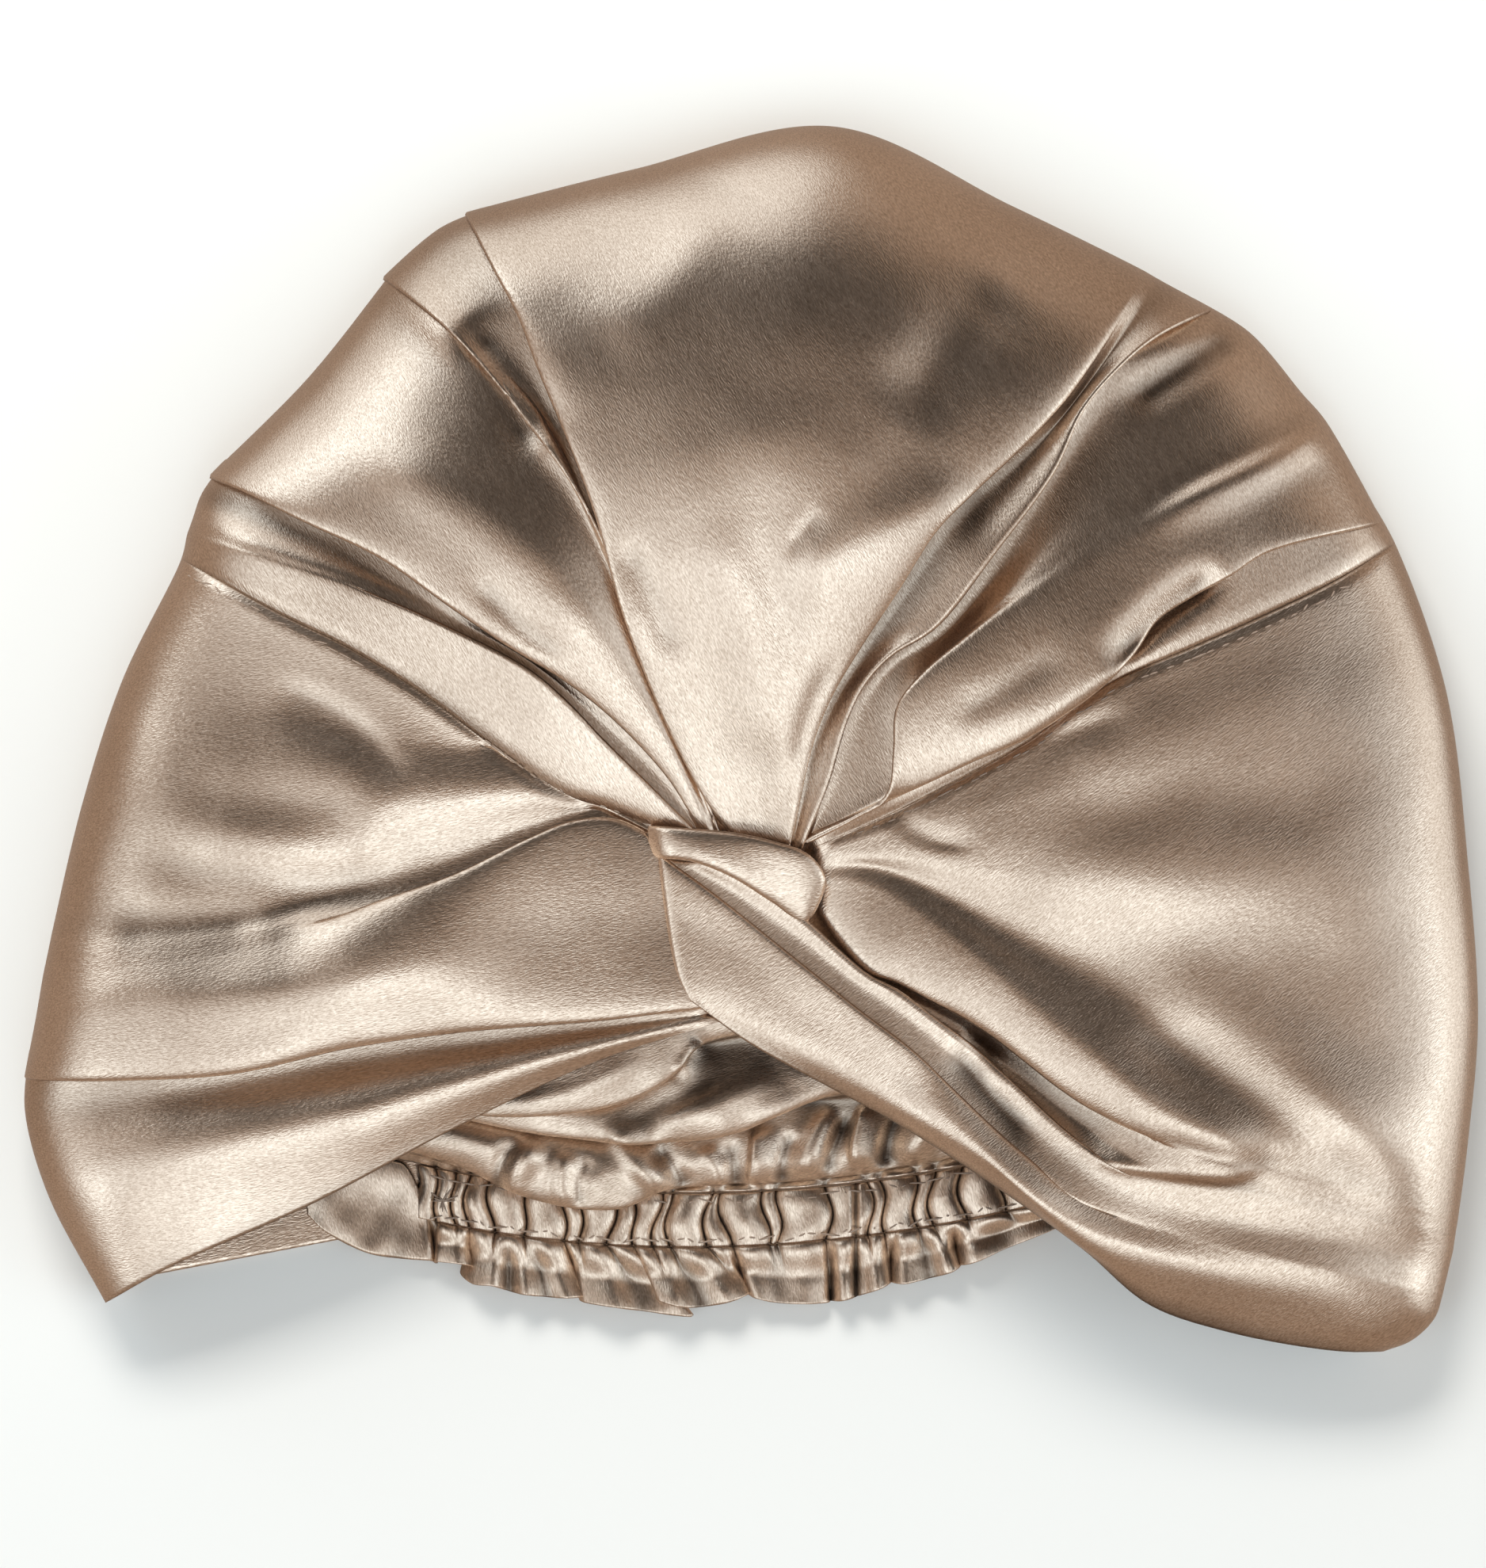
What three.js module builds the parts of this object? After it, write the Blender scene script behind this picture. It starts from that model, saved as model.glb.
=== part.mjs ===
// A satin turban sleep bonnet, lying flat on its back with the front twist facing up.
// Millimetres. +Z is up from the surface, +Y points to the top of the crown, +X to the right side.
// The origin is the middle of the footprint, on the surface that the bonnet lies on.
import * as THREE from "three";

// Driving sizes
const bonnetWidth = 298; // across the two side lobes
const bonnetLength = 250; // top of the crown to the tip of the longer lobe
const puffHeight = 50; // top of the tongue over the surface
const knotHeight = 31.5; // lowest layer of the twist over the surface
const clothWall = 1.2; // two layers of satin sewn as one
const seamGap = 0.5; // clear gap where two sewn pieces meet
const rimHeight = 9; // height of the outermost line of the rolled side
const rimTurn = 10; // how far the rolled side turns in before it lies flat
const casingWidth = 10.8; // elastic channel, between its two rows of stitches
const casingHeight = 4.6; // gathered channel with the elastic in it
const casingGather = 1.8; // height of each gather over the channel
const gatherPitch = 7; // from one gather to the next
const ruffleDepth = 11.5; // free edge below the channel
const ruffleRise = 6; // how high the highest wave of the ruffle stands
const liningReach = 45; // how far the loose lining shows in above the channel
const loopCrown = 1.4; // how far the loop of the twist bulges over its edges

// How a fold's height runs along its length
const knotBlend = 1.6; // higher leaves the height at the knot sooner
const outerBlend = [0.45, 0.8]; // where the height halfway gives way to the height further out
const sideRoundness = 4.5; // higher keeps the top flatter and turns it down later

// How finely the surfaces are divided
const frontStations = 12;
const rollStations = 3;
const backStations = 6;
const columnsPerGather = 4;
const casingRows = 4;
const ruffleRows = 3;
const loopSteps = [10, 5]; // along the loop, across it
const liningSteps = [18, 9]; // across the mouth, up into it

const halfWidth = bonnetWidth / 2;
const halfLength = bonnetLength / 2;
const lowestCentre = clothWall / 2; // middle of a wall that lies on the surface
const layerStep = clothWall + seamGap; // from one layer of the twist to the next

// Every fold of the bonnet runs from the knot out to the rolled side. Its columns are its name, its
// place at the knot, halfway, further out where it bends once more, and at the rolled side, and the
// number of columns between it and the next fold. In each place x and y are shares of half the width
// and half the length. The third value is a layer of the twist at the knot, and otherwise a share of
// the puff height.
function fold(name, knot, mid, outer, rim, after) {
  return { name, knot, mid, outer, rim, after };
}
const leftBandFolds = [
  fold("lower edge", [-0.062, -0.464, 0.3], [-0.46, -0.665, 0.46], null, [-0.885, -0.92], 1),
  fold("lobe", [-0.066, -0.455, 0.8], [-0.52, -0.6, 0.56], null, [-0.965, -0.74], 1),
  fold("under the roll", [-0.07, -0.446, 0.6], [-0.53, -0.522, 0.54], null, [-0.996, -0.58], 0),
  fold("roll lip", [-0.078, -0.434, 2], [-0.52, -0.508, 0.71], null, [-0.996, -0.545], 1),
  fold("roll crest", [-0.1, -0.3, 3], [-0.52, -0.39, 0.78], null, [-0.985, -0.43], 1),
  fold("roll top", [-0.12, -0.178, 2.7], [-0.4, -0.22, 0.76], [-0.66, -0.33, 0.7], [-0.965, -0.35], 0),
  fold("wing hollow", [-0.126, -0.165, 2], [-0.39, -0.195, 0.62], [-0.64, -0.29, 0.66], [-0.95, -0.27], 1),
  fold("wing ridge", [-0.131, -0.156, 1.2], [-0.45, -0.1, 0.7], [-0.68, -0.14, 0.7], [-0.915, -0.1], 1),
  fold("wing top", [-0.135, -0.148, 0.4], [-0.45, -0.02, 0.66], null, [-0.86, 0.1], 1),
];
const crownFolds = [
  fold("left seam", [-0.132, -0.139, 0], [-0.4, 0.03, 0.7], null, [-0.78, 0.295], 1),
  fold("low lip", [-0.111, -0.137, 0.4], [-0.29, 0.095, 0.82], [-0.5, 0.225, 0.78], [-0.772, 0.335], 0),
  fold("low hollow", [-0.103, -0.136, -0.3], [-0.29, 0.112, 0.71], [-0.505, 0.245, 0.75], [-0.764, 0.362], 0),
  fold("side hollow", [-0.095, -0.136, -0.3], [-0.337, 0.128, 0.72], [-0.607, 0.331, 0.7], [-0.752, 0.405], 0),
  fold("side lip", [-0.086, -0.136, 0.4], [-0.33, 0.142, 0.84], [-0.6, 0.348, 0.82], [-0.742, 0.432], 1),
  fold("side panel", [-0.07, -0.137, 0.4], [-0.3, 0.32, 0.88], null, [-0.61, 0.585], 1),
  fold("notch", [-0.058, -0.138, 0.1], [-0.262, 0.385, 0.84], [-0.41, 0.632, 0.8], [-0.51, 0.725], 0),
  fold("shoulder", [-0.051, -0.139, 0.3], [-0.25, 0.398, 0.89], [-0.398, 0.645, 0.87], [-0.5, 0.757], 1),
  fold("tongue hollow", [-0.042, -0.14, -0.6], [-0.213, 0.335, 0.79], [-0.322, 0.685, 0.82], [-0.425, 0.835], 0),
  fold("tongue left lip", [-0.034, -0.141, 0.3], [-0.2, 0.33, 0.93], [-0.31, 0.68, 0.92], [-0.39, 0.86], 2),
  fold("tongue left", [-0.01, -0.145, 0.3], [-0.09, 0.36, 0.98], null, [-0.15, 0.93], 2),
  fold("tongue peak", [0.01, -0.15, 0.2], [0.03, 0.4, 1], null, [0.115, 1], 2),
  fold("tongue right", [0.03, -0.153, 0.2], [0.14, 0.34, 0.99], null, [0.36, 0.87], 1),
  fold("tongue right lip", [0.05, -0.156, 0.4], [0.2, 0.24, 0.93], [0.39, 0.5, 0.93], [0.54, 0.765], 0),
  fold("strip hollow", [0.058, -0.157, -0.6], [0.213, 0.232, 0.82], [0.405, 0.495, 0.9], [0.565, 0.748], 1),
  fold("strip lip", [0.069, -0.158, 0.3], [0.25, 0.18, 0.88], [0.452, 0.53, 0.86], [0.645, 0.715], 0),
  fold("panel hollow", [0.077, -0.16, -0.8], [0.262, 0.168, 0.74], [0.472, 0.522, 0.74], [0.685, 0.665], 1),
  fold("panel ridge", [0.084, -0.162, 0], [0.4, 0.2, 0.8], null, [0.79, 0.52], 1),
  fold("panel lip", [0.092, -0.164, 0.1], [0.37, 0.004, 0.8], [0.56, 0.195, 0.79], [0.868, 0.355], 0),
];
const rightBandFolds = [
  fold("right seam", [0.1, -0.168, 0], [0.375, -0.014, 0.69], [0.6, 0.14, 0.7], [0.885, 0.32], 1),
  fold("wing top", [0.1, -0.178, 0], [0.45, -0.08, 0.7], null, [0.955, 0.08], 1),
  fold("wing middle", [0.099, -0.19, 0], [0.45, -0.22, 0.7], null, [0.985, -0.2], 1),
  fold("wing valley", [0.096, -0.206, -0.1], [0.4, -0.34, 0.63], [0.7, -0.5, 0.6], [0.999, -0.46], 1),
  fold("wing ridge", [0.091, -0.228, 0.1], [0.3, -0.34, 0.71], [0.6, -0.62, 0.7], [0.985, -0.66], 1),
  fold("wing lip", [0.083, -0.252, -0.3], [0.3, -0.44, 0.66], [0.58, -0.67, 0.6], [0.972, -0.78], 0),
  fold("gap", [0.07, -0.272, -2], [0.285, -0.452, 0.5], [0.565, -0.69, 0.52], [0.968, -0.81], 0),
  fold("middle roll", [0.02, -0.262, -0.8], [0.22, -0.45, 0.6], [0.5, -0.735, 0.58], [0.96, -0.86], 1),
  fold("strap crease", [-0.09, -0.205, -1.6], [0.15, -0.43, 0.57], [0.455, -0.755, 0.54], [0.95, -0.91], 0),
  fold("strap crest", [-0.11, -0.27, -0.8], [0.115, -0.455, 0.68], [0.45, -0.79, 0.6], [0.94, -0.945], 1),
  fold("strap front", [-0.095, -0.38, -0.8], [0.11, -0.52, 0.64], [0.48, -0.85, 0.52], [0.91, -0.98], 1),
  fold("lower edge", [-0.055, -0.452, -1.4], [0.15, -0.588, 0.5], [0.52, -0.9, 0.38], [0.86, -0.998], 0),
];

// The gathered nape channel, along its upper row of stitches, in shares of half the width and length
const napeLine = [
  { name: "left end", x: -0.43, y: -0.705 },
  { name: "middle", x: -0.03, y: -0.745 },
  { name: "right end", x: 0.4, y: -0.675 },
];

// The loop that closes the twist: its two edges, and the layer of the twist that it lies in
const loopSections = [
  { x: -0.116, upper: -0.142, lower: -0.19, layer: 1 },
  { x: -0.095, upper: -0.138, lower: -0.206, layer: 1.2 },
  { x: -0.04, upper: -0.138, lower: -0.228, layer: 1.5 },
  { x: 0.02, upper: -0.145, lower: -0.252, layer: 1.6 },
  { x: 0.07, upper: -0.16, lower: -0.272, layer: 1.6 },
  { x: 0.1, upper: -0.2, lower: -0.275, layer: 1.1 },
];

// Waves of the free edge: at and wide are shares of the channel's length, the rest of the named sizes
const ruffleWaves = [
  { at: 0.03, wide: 0.05, depth: 0.5, rise: 0.35 },
  { at: 0.11, wide: 0.08, depth: 0.55, rise: 0.6 },
  { at: 0.21, wide: 0.11, depth: 0.8, rise: 0.8 },
  { at: 0.32, wide: 0.09, depth: 0.85, rise: 1 },
  { at: 0.43, wide: 0.12, depth: 1, rise: 0.85 },
  { at: 0.535, wide: 0.07, depth: 0.75, rise: 0.7 },
  { at: 0.63, wide: 0.11, depth: 0.85, rise: 1 },
  { at: 0.74, wide: 0.09, depth: 0.75, rise: 0.75 },
  { at: 0.83, wide: 0.08, depth: 0.65, rise: 0.6 },
  { at: 0.93, wide: 0.09, depth: 0.55, rise: 0.4 },
];
const ruffleLeast = 0.5; // depth between two waves

// Loose folds of the lining. across is a share of the channel's length, along of the lining's reach,
// rise of the knot height.
const liningFolds = [
  { name: "left swag", across: 0.16, along: 0.3, rise: 0.26, wide: 0.13, deep: 0.32 },
  { name: "left tuck", across: 0.36, along: 0.12, rise: 0.13, wide: 0.07, deep: 0.2 },
  { name: "upper swag", across: 0.42, along: 0.72, rise: 0.4, wide: 0.2, deep: 0.24 },
  { name: "right swag", across: 0.68, along: 0.5, rise: 0.25, wide: 0.1, deep: 0.33 },
  { name: "right tuck", across: 0.86, along: 0.2, rise: 0.18, wide: 0.06, deep: 0.28 },
];

const liningInset = 0.03; // how far the lining stops short of the channel's ends, as a share

// A place given in shares, as a point in millimetres.
function place(x, y, z = 0) {
  return new THREE.Vector3(x * halfWidth, y * halfLength, z * puffHeight);
}

// A closed body between two grids of points, grid[column][row]. outer's faces look outwards.
function closedBody(outer, inner) {
  const columns = outer.length;
  const rows = outer[0].length;
  const positions = [...outer.flat(), ...inner.flat()].flatMap((p) => [p.x, p.y, p.z]);
  const innerStart = columns * rows;
  const index = [];
  const quad = (a, b, c, d) => index.push(a, b, c, a, c, d);
  for (let i = 0; i < columns - 1; i++) {
    for (let j = 0; j < rows - 1; j++) {
      const a = i * rows + j;
      const b = a + rows;
      quad(a, b, b + 1, a + 1);
      quad(innerStart + a, innerStart + a + 1, innerStart + b + 1, innerStart + b);
    }
  }
  const skirt = (a, b) => quad(a, b, innerStart + b, innerStart + a);
  for (let i = 0; i < columns - 1; i++) {
    skirt((i + 1) * rows, i * rows);
    skirt(i * rows + rows - 1, (i + 2) * rows - 1);
  }
  for (let j = 0; j < rows - 1; j++) {
    skirt(j, j + 1);
    skirt((columns - 1) * rows + j + 1, (columns - 1) * rows + j);
  }
  const geometry = new THREE.BufferGeometry();
  geometry.setAttribute("position", new THREE.Float32BufferAttribute(positions, 3));
  geometry.setIndex(index);
  geometry.computeVertexNormals();
  return geometry;
}

// The outward normal at each point of a grid, from its neighbours.
function gridNormals(grid) {
  const along = (list, i, pick) => {
    const before = pick(list[Math.max(i - 1, 0)]);
    const after = pick(list[Math.min(i + 1, list.length - 1)]);
    return after.clone().sub(before);
  };
  return grid.map((column, i) =>
    column.map((_, j) => {
      const across = along(grid, i, (other) => other[j]);
      const down = along(column, j, (point) => point);
      return across.cross(down).normalize();
    }),
  );
}

// A cloth wall of even thickness round a grid of middle points.
function clothSheet(grid, normals = gridNormals(grid)) {
  const shifted = (side) =>
    grid.map((column, i) =>
      column.map((point, j) => point.clone().addScaledVector(normals[i][j], (side * clothWall) / 2)),
    );
  return closedBody(shifted(1), shifted(-1));
}

// Height factor from the twist (0) to the rolled side (1), upright where the side turns over.
function rollFall(t) {
  return Math.sqrt(Math.max(0, 1 - t ** sideRoundness));
}

// A height at the knot, by its layer of the twist.
function layerHeight(layer) {
  return knotHeight + layer * layerStep;
}

// One fold seen from above, and its height before it turns over the side.
function foldCurve(fold) {
  const plan = [fold.knot, fold.mid, fold.outer, fold.rim].filter(Boolean).map(([x, y]) => place(x, y));
  const curve = new THREE.CatmullRomCurve3(plan, false, "centripetal");
  const knotLevel = layerHeight(fold.knot[2]);
  const midLevel = fold.mid[2] * puffHeight;
  const outerLevel = (fold.outer ?? fold.mid)[2] * puffHeight;
  return (t) => {
    const inner = THREE.MathUtils.lerp(knotLevel, midLevel, Math.min(1, knotBlend * t));
    const level = THREE.MathUtils.lerp(inner, outerLevel, THREE.MathUtils.smoothstep(t, ...outerBlend));
    return curve.getPointAt(t).setZ(rimHeight + (level - rimHeight) * rollFall(t));
  };
}

// The front and the rolled side, for all three panels at once: grid[column][station].
const allFolds = [...leftBandFolds, ...crownFolds, ...rightBandFolds];

function columnPlaces() {
  return allFolds.flatMap((fold, i) =>
    i === allFolds.length - 1
      ? [i]
      : Array.from({ length: fold.after + 1 }, (_, k) => i + k / (fold.after + 1)),
  );
}

function frontGrid(columns) {
  const stations = Array.from({ length: frontStations }, (_, j) =>
    Math.sin((j / (frontStations - 1)) * (Math.PI / 2)),
  );
  const folds = allFolds.map(foldCurve);
  const curves = stations.map(
    (t) => new THREE.CatmullRomCurve3(folds.map((fold) => fold(t)), false, "centripetal"),
  );
  return columns.map((at) => {
    const column = curves.map((curve) => curve.getPoint(at / (allFolds.length - 1)));
    const rim = column[column.length - 1];
    const inward = column[column.length - 3].clone().sub(rim).setZ(0).normalize();
    for (let k = 1; k <= rollStations; k++) {
      const turn = (k / rollStations) * (Math.PI / 2);
      const point = rim.clone().addScaledVector(inward, rimTurn * (1 - Math.cos(turn)));
      point.z = rimHeight - (rimHeight - lowestCentre) * Math.sin(turn);
      column.push(point);
    }
    return column;
  });
}

const columns = columnPlaces();
const shell = frontGrid(columns);
const shellNormals = gridNormals(shell);
const leftSeamColumn = columns.indexOf(leftBandFolds.length);
const rightSeamColumn = columns.indexOf(leftBandFolds.length + crownFolds.length);

// The nape line as a smooth curve, a share s along it, moved towards the free edge.
const [napeLeft, napeMiddle, napeRight] = napeLine.map((end) => place(end.x, end.y));
const napeCurve = new THREE.QuadraticBezierCurve3(
  napeLeft,
  napeMiddle.clone().multiplyScalar(2).addScaledVector(napeLeft.clone().add(napeRight), -0.5),
  napeRight,
);
function napePoint(s, outward = 0, height = lowestCentre) {
  const point = napeCurve.getPoint(s);
  return point.setY(point.y - outward).setZ(height);
}

// The flat back of a column, from where the rolled side comes to rest to its end.
function backRun(from, to) {
  return Array.from({ length: backStations }, (_, k) => from.clone().lerp(to, (k + 1) / backStations));
}

// One panel: its columns of the shell with their backs. ends gives the back end of each column.
function panel(first, last, ends) {
  const grid = [];
  const normals = [];
  const down = new THREE.Vector3(0, 0, -1);
  for (let i = first; i <= last; i++) {
    const column = shell[i].map((point) => point.clone());
    const towards = i === first ? i + 1 : i === last ? i - 1 : i;
    const isSeam = i === leftSeamColumn || i === rightSeamColumn;
    if (isSeam) {
      column.forEach((point, j) => {
        const inward = shell[towards][j].clone().sub(point).normalize();
        point.addScaledVector(inward, seamGap / 2);
      });
    }
    const from = column[column.length - 1];
    grid.push([...column, ...backRun(from, ends(i - first, last - first + 1))]);
    normals.push([...shellNormals[i].slice(0, -1), ...Array(backStations + 1).fill(down)]);
  }
  return clothSheet(grid, normals);
}

// The back ends of a side band's columns, counted from its free edge: the foot of the channel's end,
// the top of the channel's end, then up along the seam with the crown.
const seamStart = 0.1; // share of the back seam that the column beside the crown covers itself
function bandEnd(seamColumn, s, side) {
  const shift = (point) => point.setX(point.x + side * seamGap);
  const top = shift(shell[seamColumn][shell[seamColumn].length - 1].clone());
  const corner = shift(napePoint(s, -seamGap));
  const foot = shift(napePoint(s, casingWidth));
  return (k, count) => {
    if (k === 0) return foot;
    return corner.clone().lerp(top, ((1 - seamStart) * (k - 1)) / (count - 2));
  };
}
const leftBandEnd = bandEnd(leftSeamColumn, 0, -1);
const rightBandEnd = bandEnd(rightSeamColumn, 1, 1);

function crownEnd(k, count) {
  return napePoint(k / (count - 1), -seamGap);
}

// The loop of the twist, a short arched strip.
function twistLoop() {
  const [along, across] = loopSteps;
  const curve = (side) =>
    new THREE.CatmullRomCurve3(
      loopSections.map((row) => place(row.x, row[side]).setZ(layerHeight(row.layer))),
      false,
      "centripetal",
    );
  const [upper, lower] = [curve("upper"), curve("lower")];
  const grid = Array.from({ length: along + 1 }, (_, i) => {
    const [a, b] = [upper, lower].map((edge) => edge.getPoint(i / along));
    return Array.from({ length: across + 1 }, (_, j) => {
      const point = b.clone().lerp(a, j / across);
      point.z += loopCrown * Math.sin((Math.PI * j) / across);
      return point;
    });
  });
  return clothSheet(grid);
}

// The loose lining that shows in the mouth, above the flat back.
function liningHeight(across, along) {
  const resting = lowestCentre + clothWall + seamGap;
  const rise = liningFolds.reduce((sum, fold) => {
    const x = (across - fold.across) / fold.wide;
    const y = (along - fold.along) / fold.deep;
    return sum + fold.rise * knotHeight * Math.exp(-x * x - y * y);
  }, 0);
  return resting + rise;
}

function lining() {
  const [across, along] = liningSteps;
  const grid = Array.from({ length: across + 1 }, (_, i) => {
    const s = THREE.MathUtils.lerp(liningInset, 1 - liningInset, i / across);
    return Array.from({ length: along + 1 }, (_, j) => {
      const share = j / along;
      return napePoint(s, -seamGap - clothWall - share * liningReach, liningHeight(s, share));
    });
  });
  return clothSheet(grid);
}

// The gathers along the nape: 0 between two gathers, 1 on top of one, at uneven distances.
const gathers = Math.max(2, Math.round(napeLeft.distanceTo(napeRight) / gatherPitch));
const gatherDrift = 0.012; // how far the gathers stray from even spacing, as a share of the channel
const napeColumns = Array.from(
  { length: gathers * columnsPerGather + 1 },
  (_, i) => i / (gathers * columnsPerGather),
);
function gather(s) {
  const strayed = s + gatherDrift * Math.sin(6 * Math.PI * s);
  return 0.5 - 0.5 * Math.cos(2 * Math.PI * gathers * strayed);
}

// The free edge at a share s of the channel: how deep it hangs, and how high it stands.
function ruffleAt(s) {
  const edge = { depth: ruffleLeast, rise: 0 };
  for (const wave of ruffleWaves) {
    const crest = Math.max(0, 1 - ((s - wave.at) / (wave.wide / 2)) ** 2);
    edge.depth += (wave.depth - ruffleLeast) * Math.sqrt(crest);
    edge.rise += wave.rise * crest;
  }
  return edge;
}

// The elastic channel, as thick as the elastic and the cloth gathered round it.
function napeCasing() {
  const surface = (top) =>
    napeColumns.map((s) =>
      Array.from({ length: casingRows + 1 }, (_, j) => {
        const share = 1 - j / casingRows;
        const arch = Math.sqrt(Math.sin(Math.PI * share));
        const high = clothWall + (casingHeight - clothWall + casingGather * gather(s)) * arch;
        return napePoint(s, share * casingWidth, top ? high : 0);
      }),
    );
  return closedBody(surface(true), surface(false));
}

// The free edge below the channel, standing in waves.
function napeRuffle() {
  const grid = napeColumns.map((s) => {
    const { depth, rise } = ruffleAt(s);
    return Array.from({ length: ruffleRows + 1 }, (_, j) => {
      const share = 1 - j / ruffleRows;
      const outward = casingWidth + seamGap + share * depth * ruffleDepth;
      return napePoint(s, outward, lowestCentre + share * share * rise * ruffleRise);
    });
  });
  return clothSheet(grid);
}

const satin = { color: 0xb39a86, roughness: 0.38, metalness: 0.1 };
const liningSatin = { color: 0xa68b74, roughness: 0.36, metalness: 0.1 };
const lastColumn = columns.length - 1;

const pieces = {
  crown: [panel(leftSeamColumn, rightSeamColumn, crownEnd), satin],
  band_left: [panel(0, leftSeamColumn, leftBandEnd), satin],
  band_right: [panel(rightSeamColumn, lastColumn, (k, count) => rightBandEnd(count - 1 - k, count)), satin],
  twist_loop: [twistLoop(), satin],
  lining: [lining(), liningSatin],
  nape_casing: [napeCasing(), liningSatin],
  nape_ruffle: [napeRuffle(), liningSatin],
};

const bonnet = new THREE.Group();
for (const [name, [geometry, finish]] of Object.entries(pieces)) {
  const mesh = new THREE.Mesh(geometry, new THREE.MeshStandardMaterial(finish));
  mesh.name = name;
  bonnet.add(mesh);
}

// The group is centred on its footprint and set down on the surface.
const box = new THREE.Box3().setFromObject(bonnet, true);
const middle = box.getCenter(new THREE.Vector3());
for (const mesh of bonnet.children) mesh.position.set(-middle.x, -middle.y, -box.min.z);

export default bonnet;
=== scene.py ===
import math

import bmesh
import bpy
import numpy as np
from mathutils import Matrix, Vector, noise


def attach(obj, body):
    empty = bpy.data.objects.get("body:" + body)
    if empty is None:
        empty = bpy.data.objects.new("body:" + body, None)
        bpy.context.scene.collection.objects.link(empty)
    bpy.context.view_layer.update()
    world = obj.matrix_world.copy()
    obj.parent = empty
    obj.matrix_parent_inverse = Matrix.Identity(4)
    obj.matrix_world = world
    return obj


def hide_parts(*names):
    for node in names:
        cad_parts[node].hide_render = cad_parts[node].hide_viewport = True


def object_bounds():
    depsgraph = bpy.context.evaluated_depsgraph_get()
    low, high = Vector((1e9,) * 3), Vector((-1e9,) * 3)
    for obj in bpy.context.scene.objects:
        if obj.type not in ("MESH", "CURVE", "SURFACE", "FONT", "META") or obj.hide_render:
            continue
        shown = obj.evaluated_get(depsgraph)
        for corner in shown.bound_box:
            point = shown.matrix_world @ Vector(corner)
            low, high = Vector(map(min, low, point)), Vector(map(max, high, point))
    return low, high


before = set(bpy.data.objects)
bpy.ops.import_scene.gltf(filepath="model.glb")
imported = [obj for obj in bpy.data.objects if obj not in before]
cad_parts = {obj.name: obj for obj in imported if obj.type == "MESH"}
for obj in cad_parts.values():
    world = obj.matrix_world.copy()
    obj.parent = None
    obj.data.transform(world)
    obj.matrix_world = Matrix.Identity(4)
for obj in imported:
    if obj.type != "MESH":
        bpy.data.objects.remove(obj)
cadLow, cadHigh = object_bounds()
print("frame loaded")

mm = 0.001

# the bonnet as a whole, read from the frame
bonnet = {
    "halfWidth": (cadHigh.x - cadLow.x) / 2,
    "halfLength": (cadHigh.y - cadLow.y) / 2,
    "puff": cadHigh.z * 1.035,  # the tongue's height before it turns down
    "knot": cadHigh.z * 0.664,  # lowest layer of the twist
    "layer": 1.7 * mm,  # from one layer of the twist to the next
    "cloth": 0.8 * mm,  # satin and its lining sewn as one
    "rim": 9 * mm,  # height of the outermost line of the rolled side
    "rimTurn": 10 * mm,  # how far the rolled side turns in before it lies flat
    "roundness": 5.2,  # higher keeps the top flatter and turns it down later
    "riseEnd": 0.56,  # where along a fold its top is reached
    "riseBend": 1.5,
    "outerBlend": 0.4,  # share of a fold over which its outer height takes over
    "sideFall": 0.36,  # how much of its height a side has lost where it turns over
    "sideFallBend": 4,
    "sideTurn": 24,
    "sideToCrown": (0.25, 0.65),  # between these, in shares up from the middle, the side becomes the crown
}
lying = bonnet["cloth"] / 2 + 0.2 * mm  # middle of a cloth that lies on the surface


def place(x, y, z=0.0):  # shares of half the width and half the length, z in metres
    return np.array([x * bonnet["halfWidth"], y * bonnet["halfLength"], z])


# smooth lines and lists of places

curves = {
    "pathSteps": 24,  # from each place of a fold's path to the next
    "creaseSteps": 6,
    "creaseReach": 3,  # times its width, beyond which a crease adds nothing
}


def smoothStep(low, high, value):
    share = np.clip((value - low) / (high - low), 0, 1)
    return share * share * (3 - 2 * share)


def bendBetween(four, shares):  # four places in a row, curved from the second to the third
    before, start, end, after = four
    gaps = [np.sqrt(np.linalg.norm(b - a, axis=-1, keepdims=True)) for a, b in zip(four, four[1:])]
    one, two, three = [np.maximum(gap, 1e-5) for gap in gaps]
    leave = ((start - before) / one - (end - before) / (one + two) + (end - start) / two) * two
    arrive = ((end - start) / two - (after - start) / (two + three) + (after - end) / three) * two
    w = shares.reshape(-1, *[1] * start.ndim)
    curve = (2 * start - 2 * end + leave + arrive) * w ** 3
    curve = curve + (3 * end - 3 * start - 2 * leave - arrive) * w ** 2
    return curve + leave * w + start


def lineThrough(places, counts):  # counts holds the steps from each place to the next
    places = np.asarray(places, float)
    first = 2 * places[0] - places[1]
    last = 2 * places[-1] - places[-2]
    whole = np.concatenate([first[None], places, last[None]])
    spans = [bendBetween(whole[i:i + 4], np.arange(n) / n) for i, n in enumerate(counts)]
    return np.concatenate([*spans, places[-1:]])


def lineOf(path, stations):  # a path of shares, at even stations of its length
    dense = lineThrough([place(x, y) for x, y in path], [curves["pathSteps"]] * (len(path) - 1))
    steps = np.linalg.norm(np.diff(dense, axis=0), axis=1)
    share = np.concatenate([[0], np.cumsum(steps)]) / steps.sum()
    return np.stack([np.interp(stations, share, dense[:, k]) for k in range(3)], axis=1)


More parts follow.
